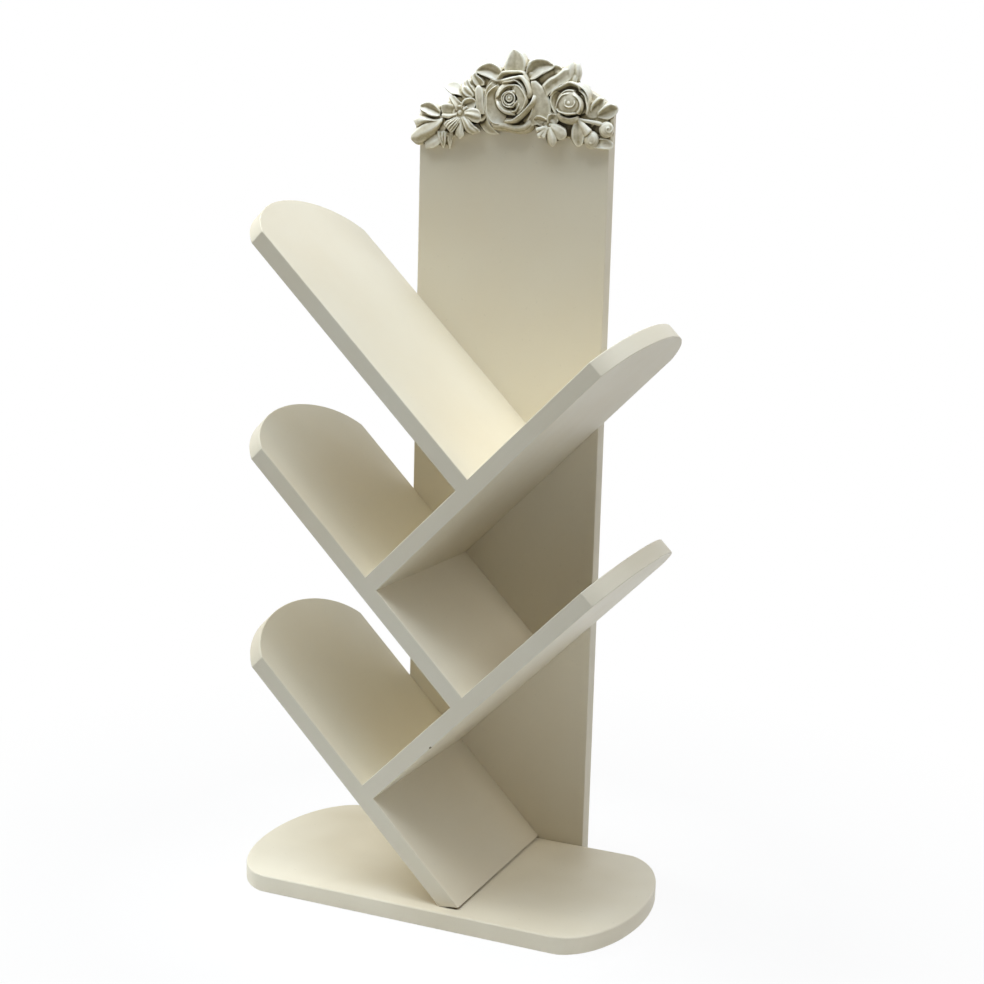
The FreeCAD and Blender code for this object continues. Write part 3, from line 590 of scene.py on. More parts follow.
def make_screws(name, places, aim, length, *nodes):
    """Screws of that length, a hair below the surface, that point along the aim."""
    sizes = {"Head Radius": HEAD_RADIUS - HEAD_PLAY, "Shank Radius": SHANK_RADIUS, "Head Cone": HEAD_CONE,
             "Length": length, "Tip": TIP, "Thread Pitch": THREAD_PITCH, "Material": screw_steel}
    points = bpy.data.meshes.new(name)
    points.from_pydata([place + SUNK_BY * aim for place in places], [], [])
    heading = points.attributes.new("aim", "FLOAT_VECTOR", "POINT")
    heading.data.foreach_set("vector", [value for _ in places for value in aim])
    mesh = run_tree(screw_tree, name, points, sizes)
    add_piece(name, smooth_shaded(mesh, 30), "steel", *nodes)


shelf_screw_nodes = [name.replace("_shelf", "_screws") for name in SHELF_PLACES]
make_screws("panel_screws", panel_screws, INTO_PANEL, PANEL_SCREW_LENGTH, "base_screws", *shelf_screw_nodes)
make_screws("slanted_screws", foot_screws, INTO_FOOT, FOOT_SCREW_LENGTH, "foot_screws")

# %% [markdown]
# The screws' heads sit flush in countersunk holes. A turned cutter, a touch wider than the screw,
# is taken out of the board with a Boolean.

# %% Countersunk holes
CUTTER_SIDES = 36


def full_turn(count):
    """Evenly spaced angles all the way round."""
    return [2 * math.pi * step / count for step in range(count)]


def skin(shape, rows):
    """Joins closed loops of points, one after the other, into a tube, and closes both of its ends."""
    made = [[shape.verts.new(point) for point in row] for row in rows]
    for first, second in zip(made, made[1:]):
        for index in range(len(first)):
            following = (index + 1) % len(first)
            shape.faces.new((first[index], first[following], second[following], second[index]))
    shape.faces.new(made[0][::-1])
    shape.faces.new(made[-1])


def turned_cutter(places, aim, outline):
    """Closed turned shapes along the aim; the outline is pairs of radius and depth."""
    cutter = bmesh.new()
    to_place = Vector((0, 0, 1)).rotation_difference(aim).to_matrix()
    for place in places:
        skin(cutter, [[place + to_place @ Vector((radius * math.cos(angle), radius * math.sin(angle), depth))
                       for angle in full_turn(CUTTER_SIDES)] for radius, depth in outline])
    bmesh.ops.recalc_face_normals(cutter, faces=cutter.faces)
    return to_mesh("cutter", cutter)


PLAY, CLEAR, BORE_LENGTH, SUNK_RADIUS, SUNK_ABOVE = 0.15 * MM, 1 * MM, 30 * MM, 4 * MM, 12 * MM
narrow_bore = [(SHANK_RADIUS + PLAY, HEAD_CONE), (SHANK_RADIUS + PLAY, BORE_LENGTH)]
countersink = [(HEAD_RADIUS + PLAY + CLEAR, -CLEAR), (HEAD_RADIUS + PLAY, 0), *narrow_bore]
sunk_bore = [(SUNK_RADIUS, -SUNK_ABOVE), (SUNK_RADIUS, HEAD_CONE), *narrow_bore]
print("countersink is", round(2 * countersink[1][0] / MM, 2), "mm wide")

# %% [markdown]
# ## Panel and base
# The panel is the same kind of board stood on end: its run points up, and its end is a wide arc
# that is a little off the middle, so that the right shoulder is the higher one.

# %% Make the panel
HEAD_OVAL_X, HEAD_OVAL_Z, HEAD_OVAL_HALF_WIDTH, HEAD_OVAL_RISE = 10 * MM, 465 * MM, 108 * MM, 121 * MM
stood_up = Matrix(((0, -1, 0, 0), (0, 0, -1, panel_face), (1, 0, 0, panel_low.z), (0, 0, 0, 1)))
panel = make_board("back_panel", paint_upright, stood_up, SHELF_ARRIS, Depth=panel_high.x - panel_low.x,
                   Thickness=panel_back - panel_face, End=HEAD_OVAL_Z - panel_low.z, End_Bulge=HEAD_OVAL_RISE,
                   Oval_Half_Width=HEAD_OVAL_HALF_WIDTH, Oval_Shift=-HEAD_OVAL_X)
panel = cut_away(panel, turned_cutter(panel_screws, INTO_PANEL, countersink))
add_piece("panel_painted", smooth_shaded(panel), "painted_board", "back_panel")

# %% Make the base
BASE_BULGE, BASE_ARRIS = 41.5 * MM, 1.3 * MM
base_middle = Matrix.Translation((0, (base_low.y + base_high.y) / 2, base_top))
half_straight = (base_high.x - base_low.x) / 2 - BASE_BULGE
base = make_board("base_board", paint_level_with_painted_light, base_middle, BASE_ARRIS, Depth=base_high.y - base_low.y,
                  Thickness=base_top - base_low.z, Start=-half_straight, Start_Bulge=BASE_BULGE,
                  End=half_straight, End_Bulge=BASE_BULGE, Oval_Half_Width=OVAL_HALF_WIDTH)
base = cut_away(base, turned_cutter(foot_screws, INTO_FOOT, sunk_bore))
add_piece("base_painted", smooth_shaded(base), "painted_board", "base_board")

# %% [markdown]
# ## Dowels
# The four shelf joints hold two beech dowels each, out of sight. Their CAD shape is right, so they
# keep it, and get a beech grain that runs along them.

# %% Beech for the dowels
def beech(name, lean):
    """Beech whose grain runs along a dowel that leans by that angle about Y."""
    material, tree = new_material(name)
    grain = object_noise(tree, 900.0, detail=4.0, stretch=(0.06, 1, 1), turn=(0, lean, 0))
    dress(tree, (grain, 0.2, 0.2 * MM),
          Base_Color=ramp(tree, grain, (0.3, "c79a6b"), (0.7, "e0bd92")),
          Roughness=ramp(tree, grain, (0.3, 0.6), (0.7, 0.75)))
    return material


beech_right, beech_left = beech("beech_leaning_right", LEAN), beech("beech_leaning_left", -LEAN)
for name in boards:
    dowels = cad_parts[name.replace("_shelf", "_dowels")]
    dowels.data.materials.clear()
    dowels.data.materials.append(beech_right if SHELF_PLACES[name][0] == RIGHT else beech_left)
print("beech on the dowels of four joints")

# %% [markdown]
# ## The garland
# The garland is one casting, carved in relief: a big rose, a small rose, a daisy, a blossom, two
# buds and the leaves between them. Every form is first drawn flat on the panel's face, to half a
# millimetre, as a carver would draw it: x from the panel's middle and z from the garland's foot. A
# form that stands out hides a part of the panel, so each drawn point is then moved towards the
# camera until it has its depth, and it still covers the spot where it was drawn.
#
# A leaf is laid between two rails that run from its base to its tip. Its face is folded or ribbed
# across, and its walls go down to the backing, as they do in a casting that has to leave a mould.

# %% Lines and points for carving
GARLAND_FOOT, FLOOR_DEPTH = 530, 0.3


def in_relief(x, z, depth):
    """The place of a drawn point that stands that many millimetres in front of the panel."""
    on_panel = Vector((x * MM, panel_face, (GARLAND_FOOT + z) * MM))
    return on_panel + (camera_place - on_panel) * (depth * MM / (panel_face - camera_place.y))


def smooth_line(points, count):
    """Evenly spaced points on a smooth line through the given ones."""
    corners, fine_steps = [Vector(point) for point in points], 12
    fine = []
    for index in range(len(corners) - 1):
        before, here, there = corners[max(index - 1, 0)], corners[index], corners[index + 1]
        after = corners[min(index + 2, len(corners) - 1)]
        for step in range(fine_steps):
            t = step / fine_steps
            fine.append(0.5 * ((2 * here) + (there - before) * t
                               + (2 * before - 5 * here + 4 * there - after) * t ** 2
                               + (3 * here - before - 3 * there + after) * t ** 3))
    fine.append(corners[-1])
    lengths = [0.0]
    for first, second in zip(fine, fine[1:]):
        lengths.append(lengths[-1] + (second - first).length)
    spaced, index = [], 0
    for step in range(count):
        wanted = lengths[-1] * step / (count - 1)
        while index < len(fine) - 2 and lengths[index + 1] < wanted:
            index += 1
        gap = lengths[index + 1] - lengths[index]
        spaced.append(fine[index].lerp(fine[index + 1], (wanted - lengths[index]) / gap if gap else 0.0))
    return spaced


print("a point 10 mm out moves by", [round(v / MM, 1) for v in in_relief(0, 30, 10) - in_relief(0, 30, 0)])

# %% Carve a leaf or a flat petal
LEAF_STEPS, LEAF_ACROSS = 20, 16


def carve_leaf(shape, upper, lower, depths, fold, tilt=0.0, ribs=0, rib_depth=0.4,
               skirts=(1.3, 0.2), lip=0.35):
    """A solid leaf between two rails. depths are those of its base, middle and tip. A fold below
    zero makes a valley along the middle, tilt brings the lower edge forward, skirts are how far the
    walls spread on their way down at the upper and the lower edge, and lip raises both edges."""
    rails = list(zip(smooth_line(upper, LEAF_STEPS + 1), smooth_line(lower, LEAF_STEPS + 1)))
    base_depth, middle_depth, tip_depth = depths
    rows = []
    for index, (high, low) in enumerate(rails):
        # s runs along the leaf. The level passes through the three depths, and swell fades the
        # relief out at both ends.
        s = index / LEAF_STEPS
        level = (base_depth * (1 - s) * (1 - 2 * s) + middle_depth * 4 * s * (1 - s)
                 + tip_depth * s * (2 * s - 1))
        swell = math.sin(math.pi * min(1.0, 0.12 + 0.88 * s) ** 0.8) ** 0.6 if s < 1 else 0.0
        rung = high - low if (high - low).length > 0.3 else rails[-4][0] - rails[-4][1]
        outward = rung.normalized()
        face, under = [], []
        for place in range(LEAF_ACROSS + 1):
            # t runs across, from -1 on the upper rail to 1 on the lower one.
            t = 2 * place / LEAF_ACROSS - 1
            spot = high.lerp(low, (t + 1) / 2)
            depth = level + fold * (1 - math.sqrt(t * t + 0.01)) * swell + tilt * t * swell
            depth += rib_depth * math.cos(math.pi * ribs * t) * swell if ribs else 0.0
            depth += lip * swell * max(0.0, (abs(t) - 0.7) / 0.3) - 0.6 * max(0.0, abs(t) - 0.9) / 0.1
            face.append(in_relief(spot.x, spot.y, max(depth, FLOOR_DEPTH + 0.4)))
            spread = outward * (skirts[0] * max(0.0, -t) - skirts[1] * max(0.0, t)) * min(1.0, 0.3 + swell)
            under.append(in_relief(spot.x + spread.x, spot.y + spread.y, FLOOR_DEPTH))
        rows.append(face + under[::-1])
    skin(shape, rows)


print("a leaf has", 2 * (LEAF_ACROSS + 1) * (LEAF_STEPS + 1), "points")

# %% Carve a stem or a turned form
STEM_STEPS, STEM_SIDES, TURNED_SIDES, LEAST_RADIUS = 18, 14, 40, 0.02


def carve_stem(shape, points, radii, depths):
    """A round stem or bud along traced points, with its own radius and depth at each of them. Its
    ends are rounded over the last two and a half steps."""
    steps = STEM_STEPS
    line = smooth_line([(x, z, 0) for x, z in points], steps + 1)
    knots = smooth_line([(radius, depth, 0) for radius, depth in zip(radii, depths)], steps + 1)
    rows = []
    for index, (spot, knot) in enumerate(zip(line, knots)):
        run = (line[min(index + 1, steps)] - line[max(index - 1, 0)]).normalized()
        end = min(index, steps - index) / 2.5
        radius = knot.x * (math.sqrt(1 - (1 - end) ** 2) if end < 1 else 1.0) + LEAST_RADIUS
        rows.append([in_relief(spot.x - run.y * radius * math.cos(angle),
                               spot.y + run.x * radius * math.cos(angle),
                               knot.y + radius * math.sin(angle)) for angle in full_turn(STEM_SIDES)])
    skin(shape, rows)


def carve_turned(shape, centre, outline, squash=1.0):
    """A turned form about an axis out of the panel; the outline is pairs of radius and depth."""
    rows = []
    for radius, depth in outline:
        heart = in_relief(*centre, depth)
        radius = MM * max(radius, LEAST_RADIUS)
        rows.append([heart + radius * Vector((math.cos(angle), 0, squash * math.sin(angle)))
                     for angle in full_turn(TURNED_SIDES)])
    skin(shape, rows)


print("carving tools ready")

# %% [markdown]
# A rose petal follows its rim. Inside the rim it opens like a bowl, then it rolls over outwards, and
# its outside bulges down to the floor, because a casting has no undercuts. The cross-section is
# drawn once for every point of the rim.

# %% Carve a rose petal
def carve_petal(shape, rim, centre, rim_depth, base_share, base_depth, roll, skirt, tuck=4.0):
    """A solid petal below a drawn rim. Its bowl starts at a share of the way from the centre to the
    rim, its outside ends skirt millimetres further out, and its two ends sink by the tuck."""
    steps, bowl_steps, roll_steps, wall_steps = 30, 8, 6, 6
    middle = in_relief(*centre, rim_depth)
    rows = []
    for index, spot in enumerate(smooth_line(rim, steps + 1)):
        top = rim_depth - tuck * abs(2 * index / steps - 1) ** 6
        edge = in_relief(spot.x, spot.y, top)
        outward = Vector((edge.x - middle.x, 0, edge.z - middle.z))
        reach = outward.length / MM - 1.5 * roll
        outward.normalize()
        top -= roll
        base = min(base_depth, top - 0.2)
        bowl = [math.pi / 2 * step / bowl_steps for step in range(bowl_steps + 1)]
        over = [math.pi * step / roll_steps for step in range(1, roll_steps + 1)]
        wall = [math.pi / 2 * step / wall_steps for step in range(1, wall_steps + 1)]
        path = [(reach * (base_share + (1 - base_share) * math.sin(angle)),
                 base + (top - base) * (1 - math.cos(angle))) for angle in bowl]
        path += [(reach + roll * (1 - math.cos(angle)), top + roll * math.sin(angle)) for angle in over]
        path += [(reach + 2 * roll + skirt * math.sin(angle),
                  FLOOR_DEPTH + (top - FLOOR_DEPTH) * math.cos(angle)) for angle in wall]
        path.insert(0, (path[0][0], FLOOR_DEPTH))
        rows.append([Vector((middle.x, panel_face - up * MM, middle.z)) + outward * (out * MM)
                     for out, up in path])
    skin(shape, rows)


print("petal tool ready")

# %% [markdown]
# ### The leaves and the flat petals
# Each entry holds the upper and the lower rail, from base to tip, then the depths at base, middle
# and tip, and how the face is folded. A leaf that stands upright counts its left rail as the upper.

# %% Leaves left of the big rose
LEFT_LEAVES = {
    "pale_leaf": (
        [(-41.5, 43), (-42, 48.5), (-46.5, 50.5), (-52.5, 49.5), (-55.5, 47.5)],
        [(-41.5, 40), (-45, 41), (-49.5, 41.5), (-54, 45), (-55.5, 47.5)],
        (5, 5.5, 4.5), dict(fold=-0.9, tilt=3.4)),
    "leaf_by_rose_low": (
        [(-33, 39), (-37.5, 40), (-40, 42), (-41, 44.5), (-40.5, 47.5)],
        [(-31.5, 40), (-33, 42), (-35, 44), (-38, 46.5), (-40.5, 47.5)],
        (7, 8, 6), dict(fold=-1.2)),
    "leaf_by_rose": (
        [(-32, 41.5), (-35, 44.5), (-38, 47.5), (-38.5, 50.5), (-37, 52.5)],
        [(-30, 40), (-31, 43.5), (-34, 47.5), (-35.5, 51), (-37, 52.5)],
        (6.5, 7, 5), dict(fold=-1.2)),
    "leaf_by_rose_high": (
        [(-29.5, 47), (-31.5, 49), (-33, 52), (-33, 55), (-31, 57)],
        [(-23.5, 47.5), (-23.5, 50), (-26, 52.5), (-29, 54.5), (-31, 57)],
        (6, 6.5, 5), dict(fold=-1.8)),
    "cheek_leaf": (
        [(-29.5, 27), (-29.5, 34), (-30.5, 41.5), (-30, 45.5), (-28, 47.5)],
        [(-22.5, 27), (-23.5, 35), (-24, 43), (-25.5, 46), (-28, 47.5)],
        (7, 8.5, 8), dict(fold=0.5, lip=0, skirts=(0.6, 0.4))),
    "broad_leaf": (
        [(-10, 58), (-14, 61.5), (-20, 63.5), (-26.5, 61.5), (-30, 58.5)],
        [(-9.5, 50.5), (-15, 50.5), (-20.5, 53), (-27.5, 55.5), (-30.5, 57.5)],
        (6, 7, 4.5), dict(fold=-3, skirts=(2, 0.2))),
    "end_leaf_high": (
        [(-58, 28.5), (-59.5, 30.5), (-62.5, 33.5), (-66.5, 35.5), (-70.5, 35.5), (-74.5, 34)],
        [(-58.5, 25.5), (-63.5, 25.5), (-68, 26.5), (-71.5, 28.5), (-74.5, 30), (-75, 32)],
        (7, 7.5, 5), dict(fold=-3.4, tilt=0.8, skirts=(1.8, 0.2))),
    "end_leaf_middle": (
        [(-58.5, 25.5), (-64.5, 25.5), (-69, 27), (-72.5, 29.5), (-73.5, 27.5)],
        [(-58.5, 22.5), (-63, 21.5), (-68, 21.5), (-72.5, 22.5), (-73.5, 25.5)],
        (4.5, 4.5, 3.5), dict(fold=-1.2, tilt=-0.8)),
    "end_leaf_low": (
        [(-58.5, 23.5), (-63, 23), (-68, 24), (-72.5, 25), (-77, 24.5), (-80, 22.5)],
        [(-58.5, 23), (-62.5, 21.5), (-68.5, 21), (-73.5, 19.5), (-77, 18), (-79, 20.5)],
        (6, 6.5, 4.5), dict(fold=2, lip=0)),
    "long_leaf": (
        [(-56, 24.5), (-63, 22), (-69, 20.5), (-74.5, 18), (-79, 14.5), (-82, 11.5)],
        [(-56.5, 20.5), (-60, 14), (-65, 9.5), (-71, 7), (-77, 6), (-82, 9)],
        (5.5, 5.5, 3.5), dict(fold=3.4, tilt=-1.7, lip=0, skirts=(1.4, 2))),
    "under_leaf": (
        [(-57, 15.5), (-60.5, 13), (-66, 10.5), (-70.5, 6)],
        [(-55.5, 9.5), (-58.5, 5.5), (-63.5, 2.5), (-69.5, 2)],
        (5, 5.5, 3.5), dict(fold=1.2, tilt=1, lip=0)),
    "spike_leaf": (
        [(-60.5, 14.5), (-60, 10.5), (-58, 6.5), (-55, 2.5)],
        [(-52.5, 14.5), (-53, 10), (-53.5, 6), (-54.5, 2.5)],
        (6, 6.5, 4), dict(fold=-0.6, ribs=3, rib_depth=0.6)),
    "rose_sepal": (
        [(-28, 31), (-28, 24), (-25, 18), (-20.5, 14), (-15, 12.5)],
        [(-21.5, 31), (-20.5, 25), (-17.5, 19.5), (-13.5, 15.5), (-10, 13)],
        (3.6, 4, 2.6), dict(fold=-0.8, tilt=0.6, skirts=(0.6, 0.2))),
    "small_spike": (
        [(-52, 13.5), (-51.5, 8), (-50, 2)], [(-48, 14), (-48, 9), (-49.5, 2)],
        (4, 4.5, 3), dict(fold=-0.5, ribs=2)),
}
print(len(LEFT_LEAVES), "leaves on the left")

# %% Leaves right of the big rose
RIGHT_LEAVES = {
    "top_leaf": (
        [(-7, 55), (-7.5, 61), (-5.5, 66.5), (-3.5, 71), (-1, 73.5)],
        [(7.5, 55.5), (8.5, 63), (6, 68.5), (3, 71.5), (-1, 73.5)],
        (6, 7, 4.5), dict(fold=-1.6, skirts=(0.6, 3.2))),
    "right_leaf_high": (
        [(9, 55.5), (10, 60.5), (13, 64.5), (18.5, 66), (25, 65), (30.5, 61.5)],
        [(12, 51), (16.5, 52), (21.5, 55), (26, 57), (30, 59), (31, 61)],
        (6, 7, 5), dict(fold=-3.4, skirts=(1.8, 0.2))),
    "right_leaf_small": (
        [(28, 57.5), (28.5, 58.5), (29.5, 60.5), (32.5, 61.5), (36, 60), (37.5, 58.5)],
        [(30.5, 54.5), (31.5, 55), (33, 55.5), (35.5, 56.5), (36.5, 57), (37.5, 58)],
        (2.5, 5, 4.5), dict(fold=-1.2, tilt=-0.6)),
    "right_leaf_long": (
        [(22.5, 47), (27, 51), (32, 53.5), (36, 56.5), (38.5, 58.5), (42.5, 58.5)],
        [(26, 40), (29.5, 43), (32.5, 45.5), (37, 48), (42, 50), (45, 53.5)],
        (8, 8.5, 6), dict(fold=-0.8, tilt=-0.6, skirts=(1.5, 0.2))),
    "middle_leaf": (
        [(9, 18), (12, 25), (13.5, 33), (14, 40), (13.5, 46), (13, 50)],
        [(31, 22), (29.5, 29), (28.5, 36), (26, 41), (22, 46), (17, 50.5)],
        (5.5, 6.8, 8), dict(fold=0.8, lip=0, skirts=(0.2, 0.6))),
    "tip_leaf_high": (
        [(59.5, 29.5), (60.5, 33.5), (63.5, 37), (66.5, 38.5), (69.5, 38)],
        [(61.5, 28.5), (65, 29), (68, 31), (69.5, 34), (70, 37.5)],
        (5, 6, 4.5), dict(fold=-2.4, tilt=-1.4, skirts=(1.2, 1.2))),
    "tip_leaf_low": (
        [(65, 28), (68.5, 31.5), (71.5, 33.5), (74.5, 34.5), (78, 33.5), (80, 32)],
        [(65.5, 25), (69.5, 24), (74, 24), (78, 26.5), (80, 29), (80.5, 31)],
        (5.5, 6.5, 4.5), dict(fold=-2.2, tilt=-1.4, skirts=(1.8, 0.2))),
    "drop_leaf": (
        [(47.5, 21.5), (46, 16.5), (46, 10.5), (48.5, 6), (51, 4.5)],
        [(51, 22.5), (54.5, 17.5), (55.5, 11.5), (54, 6), (51, 4.5)],
        (6, 7, 5), dict(fold=-1, skirts=(0.8, 0.2))),
    "corner_leaf": (
        [(59, 9), (65.5, 10), (70.5, 10.5), (75, 9), (77.5, 7)],
        [(60, 4), (65.5, 3.5), (71, 3), (75, 3), (77.5, 4)],
        (4.5, 5, 4), dict(fold=-0.8, tilt=1, lip=0.8)),
    "bud_petal_left": (
        [(43, 49), (39.5, 53), (38.5, 58.5), (41, 62.5), (44, 64.5)],
        [(46, 49), (46.5, 54), (46.5, 59), (45.5, 63), (44, 64.5)],
        (4, 5, 3), dict(fold=1.8, lip=0)),
    "bud_petal_right": (
        [(46, 50), (45.5, 55), (46, 60), (46.5, 63), (47, 64)],
        [(50.5, 50), (52, 54.5), (51.5, 59), (50, 62.5), (47, 64)],
        (3.5, 4.5, 3), dict(fold=1.6, lip=0)),
    "bud_petal_front": (
        [(42.5, 47.5), (43, 51), (45, 54), (48, 55.5)], [(47, 47), (48.5, 50), (49, 53), (48, 55.5)],
        (5, 5.5, 4.5), dict(fold=0.8)),
    "shoulder_petal": (
        [(47, 48.5), (51.5, 45.5), (55, 42.5), (57, 38), (57.5, 31)],
        [(53, 49.5), (57, 47), (59.5, 43), (60, 38), (59.5, 31)],
        (6, 6, 5), dict(fold=0.4, tilt=-2.4, lip=0, skirts=(0.2, 0.8))),
}
print(len(RIGHT_LEAVES), "leaves on the right")

# %% Petals of the daisy and the blossom
PETALS = {
    "daisy_up_right": (
        [(-41.5, 31), (-40.5, 35.5), (-37.5, 38), (-33, 38.5), (-30, 37)],
        [(-38, 30), (-35.5, 31), (-32.5, 31), (-30.5, 32), (-29.5, 34.5)],
        (8, 9, 7.5), dict(fold=-2.6, lip=0.7, tilt=-0.8)),
    "daisy_up_left": (
        [(-45.5, 29.5), (-47, 33), (-49, 36), (-50.5, 39), (-49.5, 40.5)],
        [(-40, 31), (-41.5, 35), (-44, 37.5), (-47, 40), (-49.5, 40.5)],
        (8, 9.5, 8), dict(fold=-1.4, tilt=-1.6)),
    "daisy_left_high": (
        [(-44.5, 31), (-48.5, 33.5), (-53, 34.5), (-57, 34), (-57.5, 32.5)],
        [(-45, 27.5), (-48.5, 27.5), (-53, 27.5), (-56.5, 27.5), (-57.5, 30.5)],
        (8, 8, 7.5), dict(fold=-0.3, tilt=-0.9, lip=0)),
    "daisy_left_low": (
        [(-45, 28), (-48.5, 27), (-53, 27), (-56.5, 27), (-57, 26)],
        [(-45, 25.5), (-48, 25), (-51.5, 24), (-55.5, 24.5), (-57, 25.5)],
        (8.5, 8.8, 7.8), dict(fold=0.9, lip=0)),
    "daisy_low_left": (
        [(-46, 25.5), (-49, 23.5), (-52.5, 22), (-55, 19.5), (-54, 18)],
        [(-41.5, 23.5), (-43.5, 20), (-45.5, 17), (-48, 14), (-50, 14)],
        (8.5, 10, 8.5), dict(fold=0.6, ribs=4, rib_depth=0.7, lip=0)),
    "daisy_low": (
        [(-43.5, 23.5), (-44, 19), (-45, 15), (-45, 12), (-42.5, 9.5)],
        [(-40, 23.5), (-39.5, 19), (-39, 15), (-38.5, 12), (-41, 9.5)],
        (7.5, 8.5, 9), dict(fold=1.6, lip=0)),
    "daisy_low_right": (
        [(-41.5, 24.5), (-39.5, 20), (-37.5, 16), (-34.5, 13.5), (-31.5, 12.5)],
        [(-37.5, 25.5), (-34, 22), (-31, 19), (-27, 16.5), (-25.5, 14.5)],
        (8.5, 9.8, 8), dict(fold=1.2, ribs=2, rib_depth=0.3, lip=0)),
    "daisy_right": (
        [(-39, 29.5), (-35.5, 30.5), (-31.5, 31), (-27.5, 30), (-25.5, 27)],
        [(-38.5, 25), (-35, 23.5), (-31.5, 21.5), (-27.5, 21), (-25, 23)],
        (8.5, 10, 8.8), dict(fold=1.2, ribs=2, rib_depth=0.3, lip=0)),
    "blossom_left": (
        [(27.5, 22.5), (23.5, 25), (19.5, 26), (17, 25), (16, 23.5)],
        [(27.5, 18.5), (23.5, 18.5), (20, 19.5), (17.5, 21), (16, 23)],
        (7, 8, 7.5), dict(fold=-2.4, tilt=-1.8, lip=0.7, skirts=(1.6, 0.2))),
    "blossom_high": (
        [(27, 21), (26.5, 24), (27.5, 26.5), (30, 27.5), (32, 27)],
        [(31, 20), (33.5, 20.5), (35, 22), (35, 24.5), (33, 26.5)],
        (7, 8, 7.5), dict(fold=-2, tilt=-1.4, lip=0.6)),
    "blossom_right": (
        [(29.5, 20.5), (33.5, 20), (37.5, 18.5), (41, 16.5), (42, 13.5)],
        [(29.5, 16.5), (32, 13), (35.5, 9.5), (39.5, 9.5), (42, 12)],
        (7.5, 9, 8), dict(fold=1.2, lip=0)),
    "blossom_low": (
        [(27, 18), (27, 13), (28, 8.5), (29.5, 5.5), (31.5, 4.5)],
        [(31, 18), (33, 14), (34.5, 9.5), (34, 6.5), (32, 4.5)],
        (7.5, 9, 8.5), dict(fold=1.3, lip=0)),
}
print(len(PETALS), "flat petals")

# %% Carve the backing and the leaves
BACKING = [
    (-73.5, 7.5), (-78, 14.5), (-73.5, 30), (-61, 33), (-48.5, 36), (-50, 45), (-41, 46), (-37.5, 48.5),
    (-30, 54.5), (-23.5, 59.5), (-9, 60), (-4, 68.5), (5, 68.5), (12, 62), (25, 62), (37, 58), (48, 57),
    (51.5, 48.5), (58.5, 43), (60, 36), (67.5, 35), (76, 30), (77.5, 20.5), (76, 4.5), (60, 5), (50.5, 8.5),
    (33.5, 12.5), (22.5, 15), (13.5, 20), (2.5, 17), (-23, 21), (-37.5, 16), (-54.5, 7.5)]
foliage = bmesh.new()
edge_line = smooth_line([(x, z, 0) for x, z in [*BACKING, BACKING[0]]], 200)[:-1]
BACKING_HEART = Vector((0, 30, 0))
BACKING_EDGE = ((1.0, 0.0), (0.995, 1.6), (0.975, 2.9))  # shares of the outline, and their depths
skin(foliage, [[in_relief(*BACKING_HEART.lerp(spot, share)[:2], depth) for spot in edge_line]
               for share, depth in BACKING_EDGE])
for upper, lower, depths, face in (*LEFT_LEAVES.values(), *RIGHT_LEAVES.values()):
    carve_leaf(foliage, upper, lower, depths, **face)
# Low mounds fill the ground between the leaves, so that no hole goes down to the panel. Each is its
# place, its radius and its depth.
MOUNDS = [
    (-42, 28, 13, 5.5), (-36, 42.5, 7, 6), (-27, 39, 8, 6), (-26, 27, 6, 6), (-44, 40, 5, 4), (-60, 19, 8, 5),
    (-62, 11, 7, 4.5), (-56, 10, 6, 4), (-31, 49, 5, 5), (61, 30, 7, 4.5), (52, 34, 8, 5), (57, 22, 7, 4),
    (27, 23, 8, 5), (33, 15, 7, 4), (68, 26, 7, 4), (13, 53, 4, 5), (67, 9, 5, 3.6)]
for x, z, radius, depth in MOUNDS:
    carve_turned(foliage, (x, z), [(radius, FLOOR_DEPTH), (radius * 0.97, depth * 0.6),
                                   (radius * 0.8, depth * 0.92), (0, depth)])
print("foliage:", len(foliage.faces), "faces")

# %% Carve the daisy, the blossom and the buds
flowers = bmesh.new()
for upper, lower, depths, face in PETALS.values():
    carve_leaf(flowers, upper, lower, depths, **face)
DAISY_HEART, BLOSSOM_HEART, LOW_BUD, ROUND_BUD = (-42.5, 28), (29, 19.5), (61, 9.5), (72, 16.5)
carve_turned(flowers, DAISY_HEART, [(6.0, 0.5), (6.0, 7.4), (4.8, 8.6), (3.0, 7.9), (1.8, 7.8), (1.3, 8.8),
                                    (0.8, 9.4), (0, 9.5)])
carve_turned(flowers, BLOSSOM_HEART, [(5, 0.5), (5, 6.2), (3.4, 7.2), (2.4, 7.2), (1.9, 6.6), (1.1, 6.6),
                                      (0.9, 7.4), (0, 7.8)])
carve_turned(flowers, LOW_BUD, [(5.2, 0.5), (5.6, 4.5), (5.2, 6.6), (4.2, 8.0), (2.4, 8.9), (0, 9.1)],
             squash=1.1)
carve_turned(flowers, ROUND_BUD, [(5.4, 0.5), (5.7, 4.2), (5.2, 6.6), (4.0, 8.0), (2.0, 8.8), (0, 9.0)])
bud_spiral = [(73.5 + (0.4 + 0.4 * turn) * math.cos(turn), 17 + (0.4 + 0.4 * turn) * math.sin(turn))
              for turn in range(1, 10)]
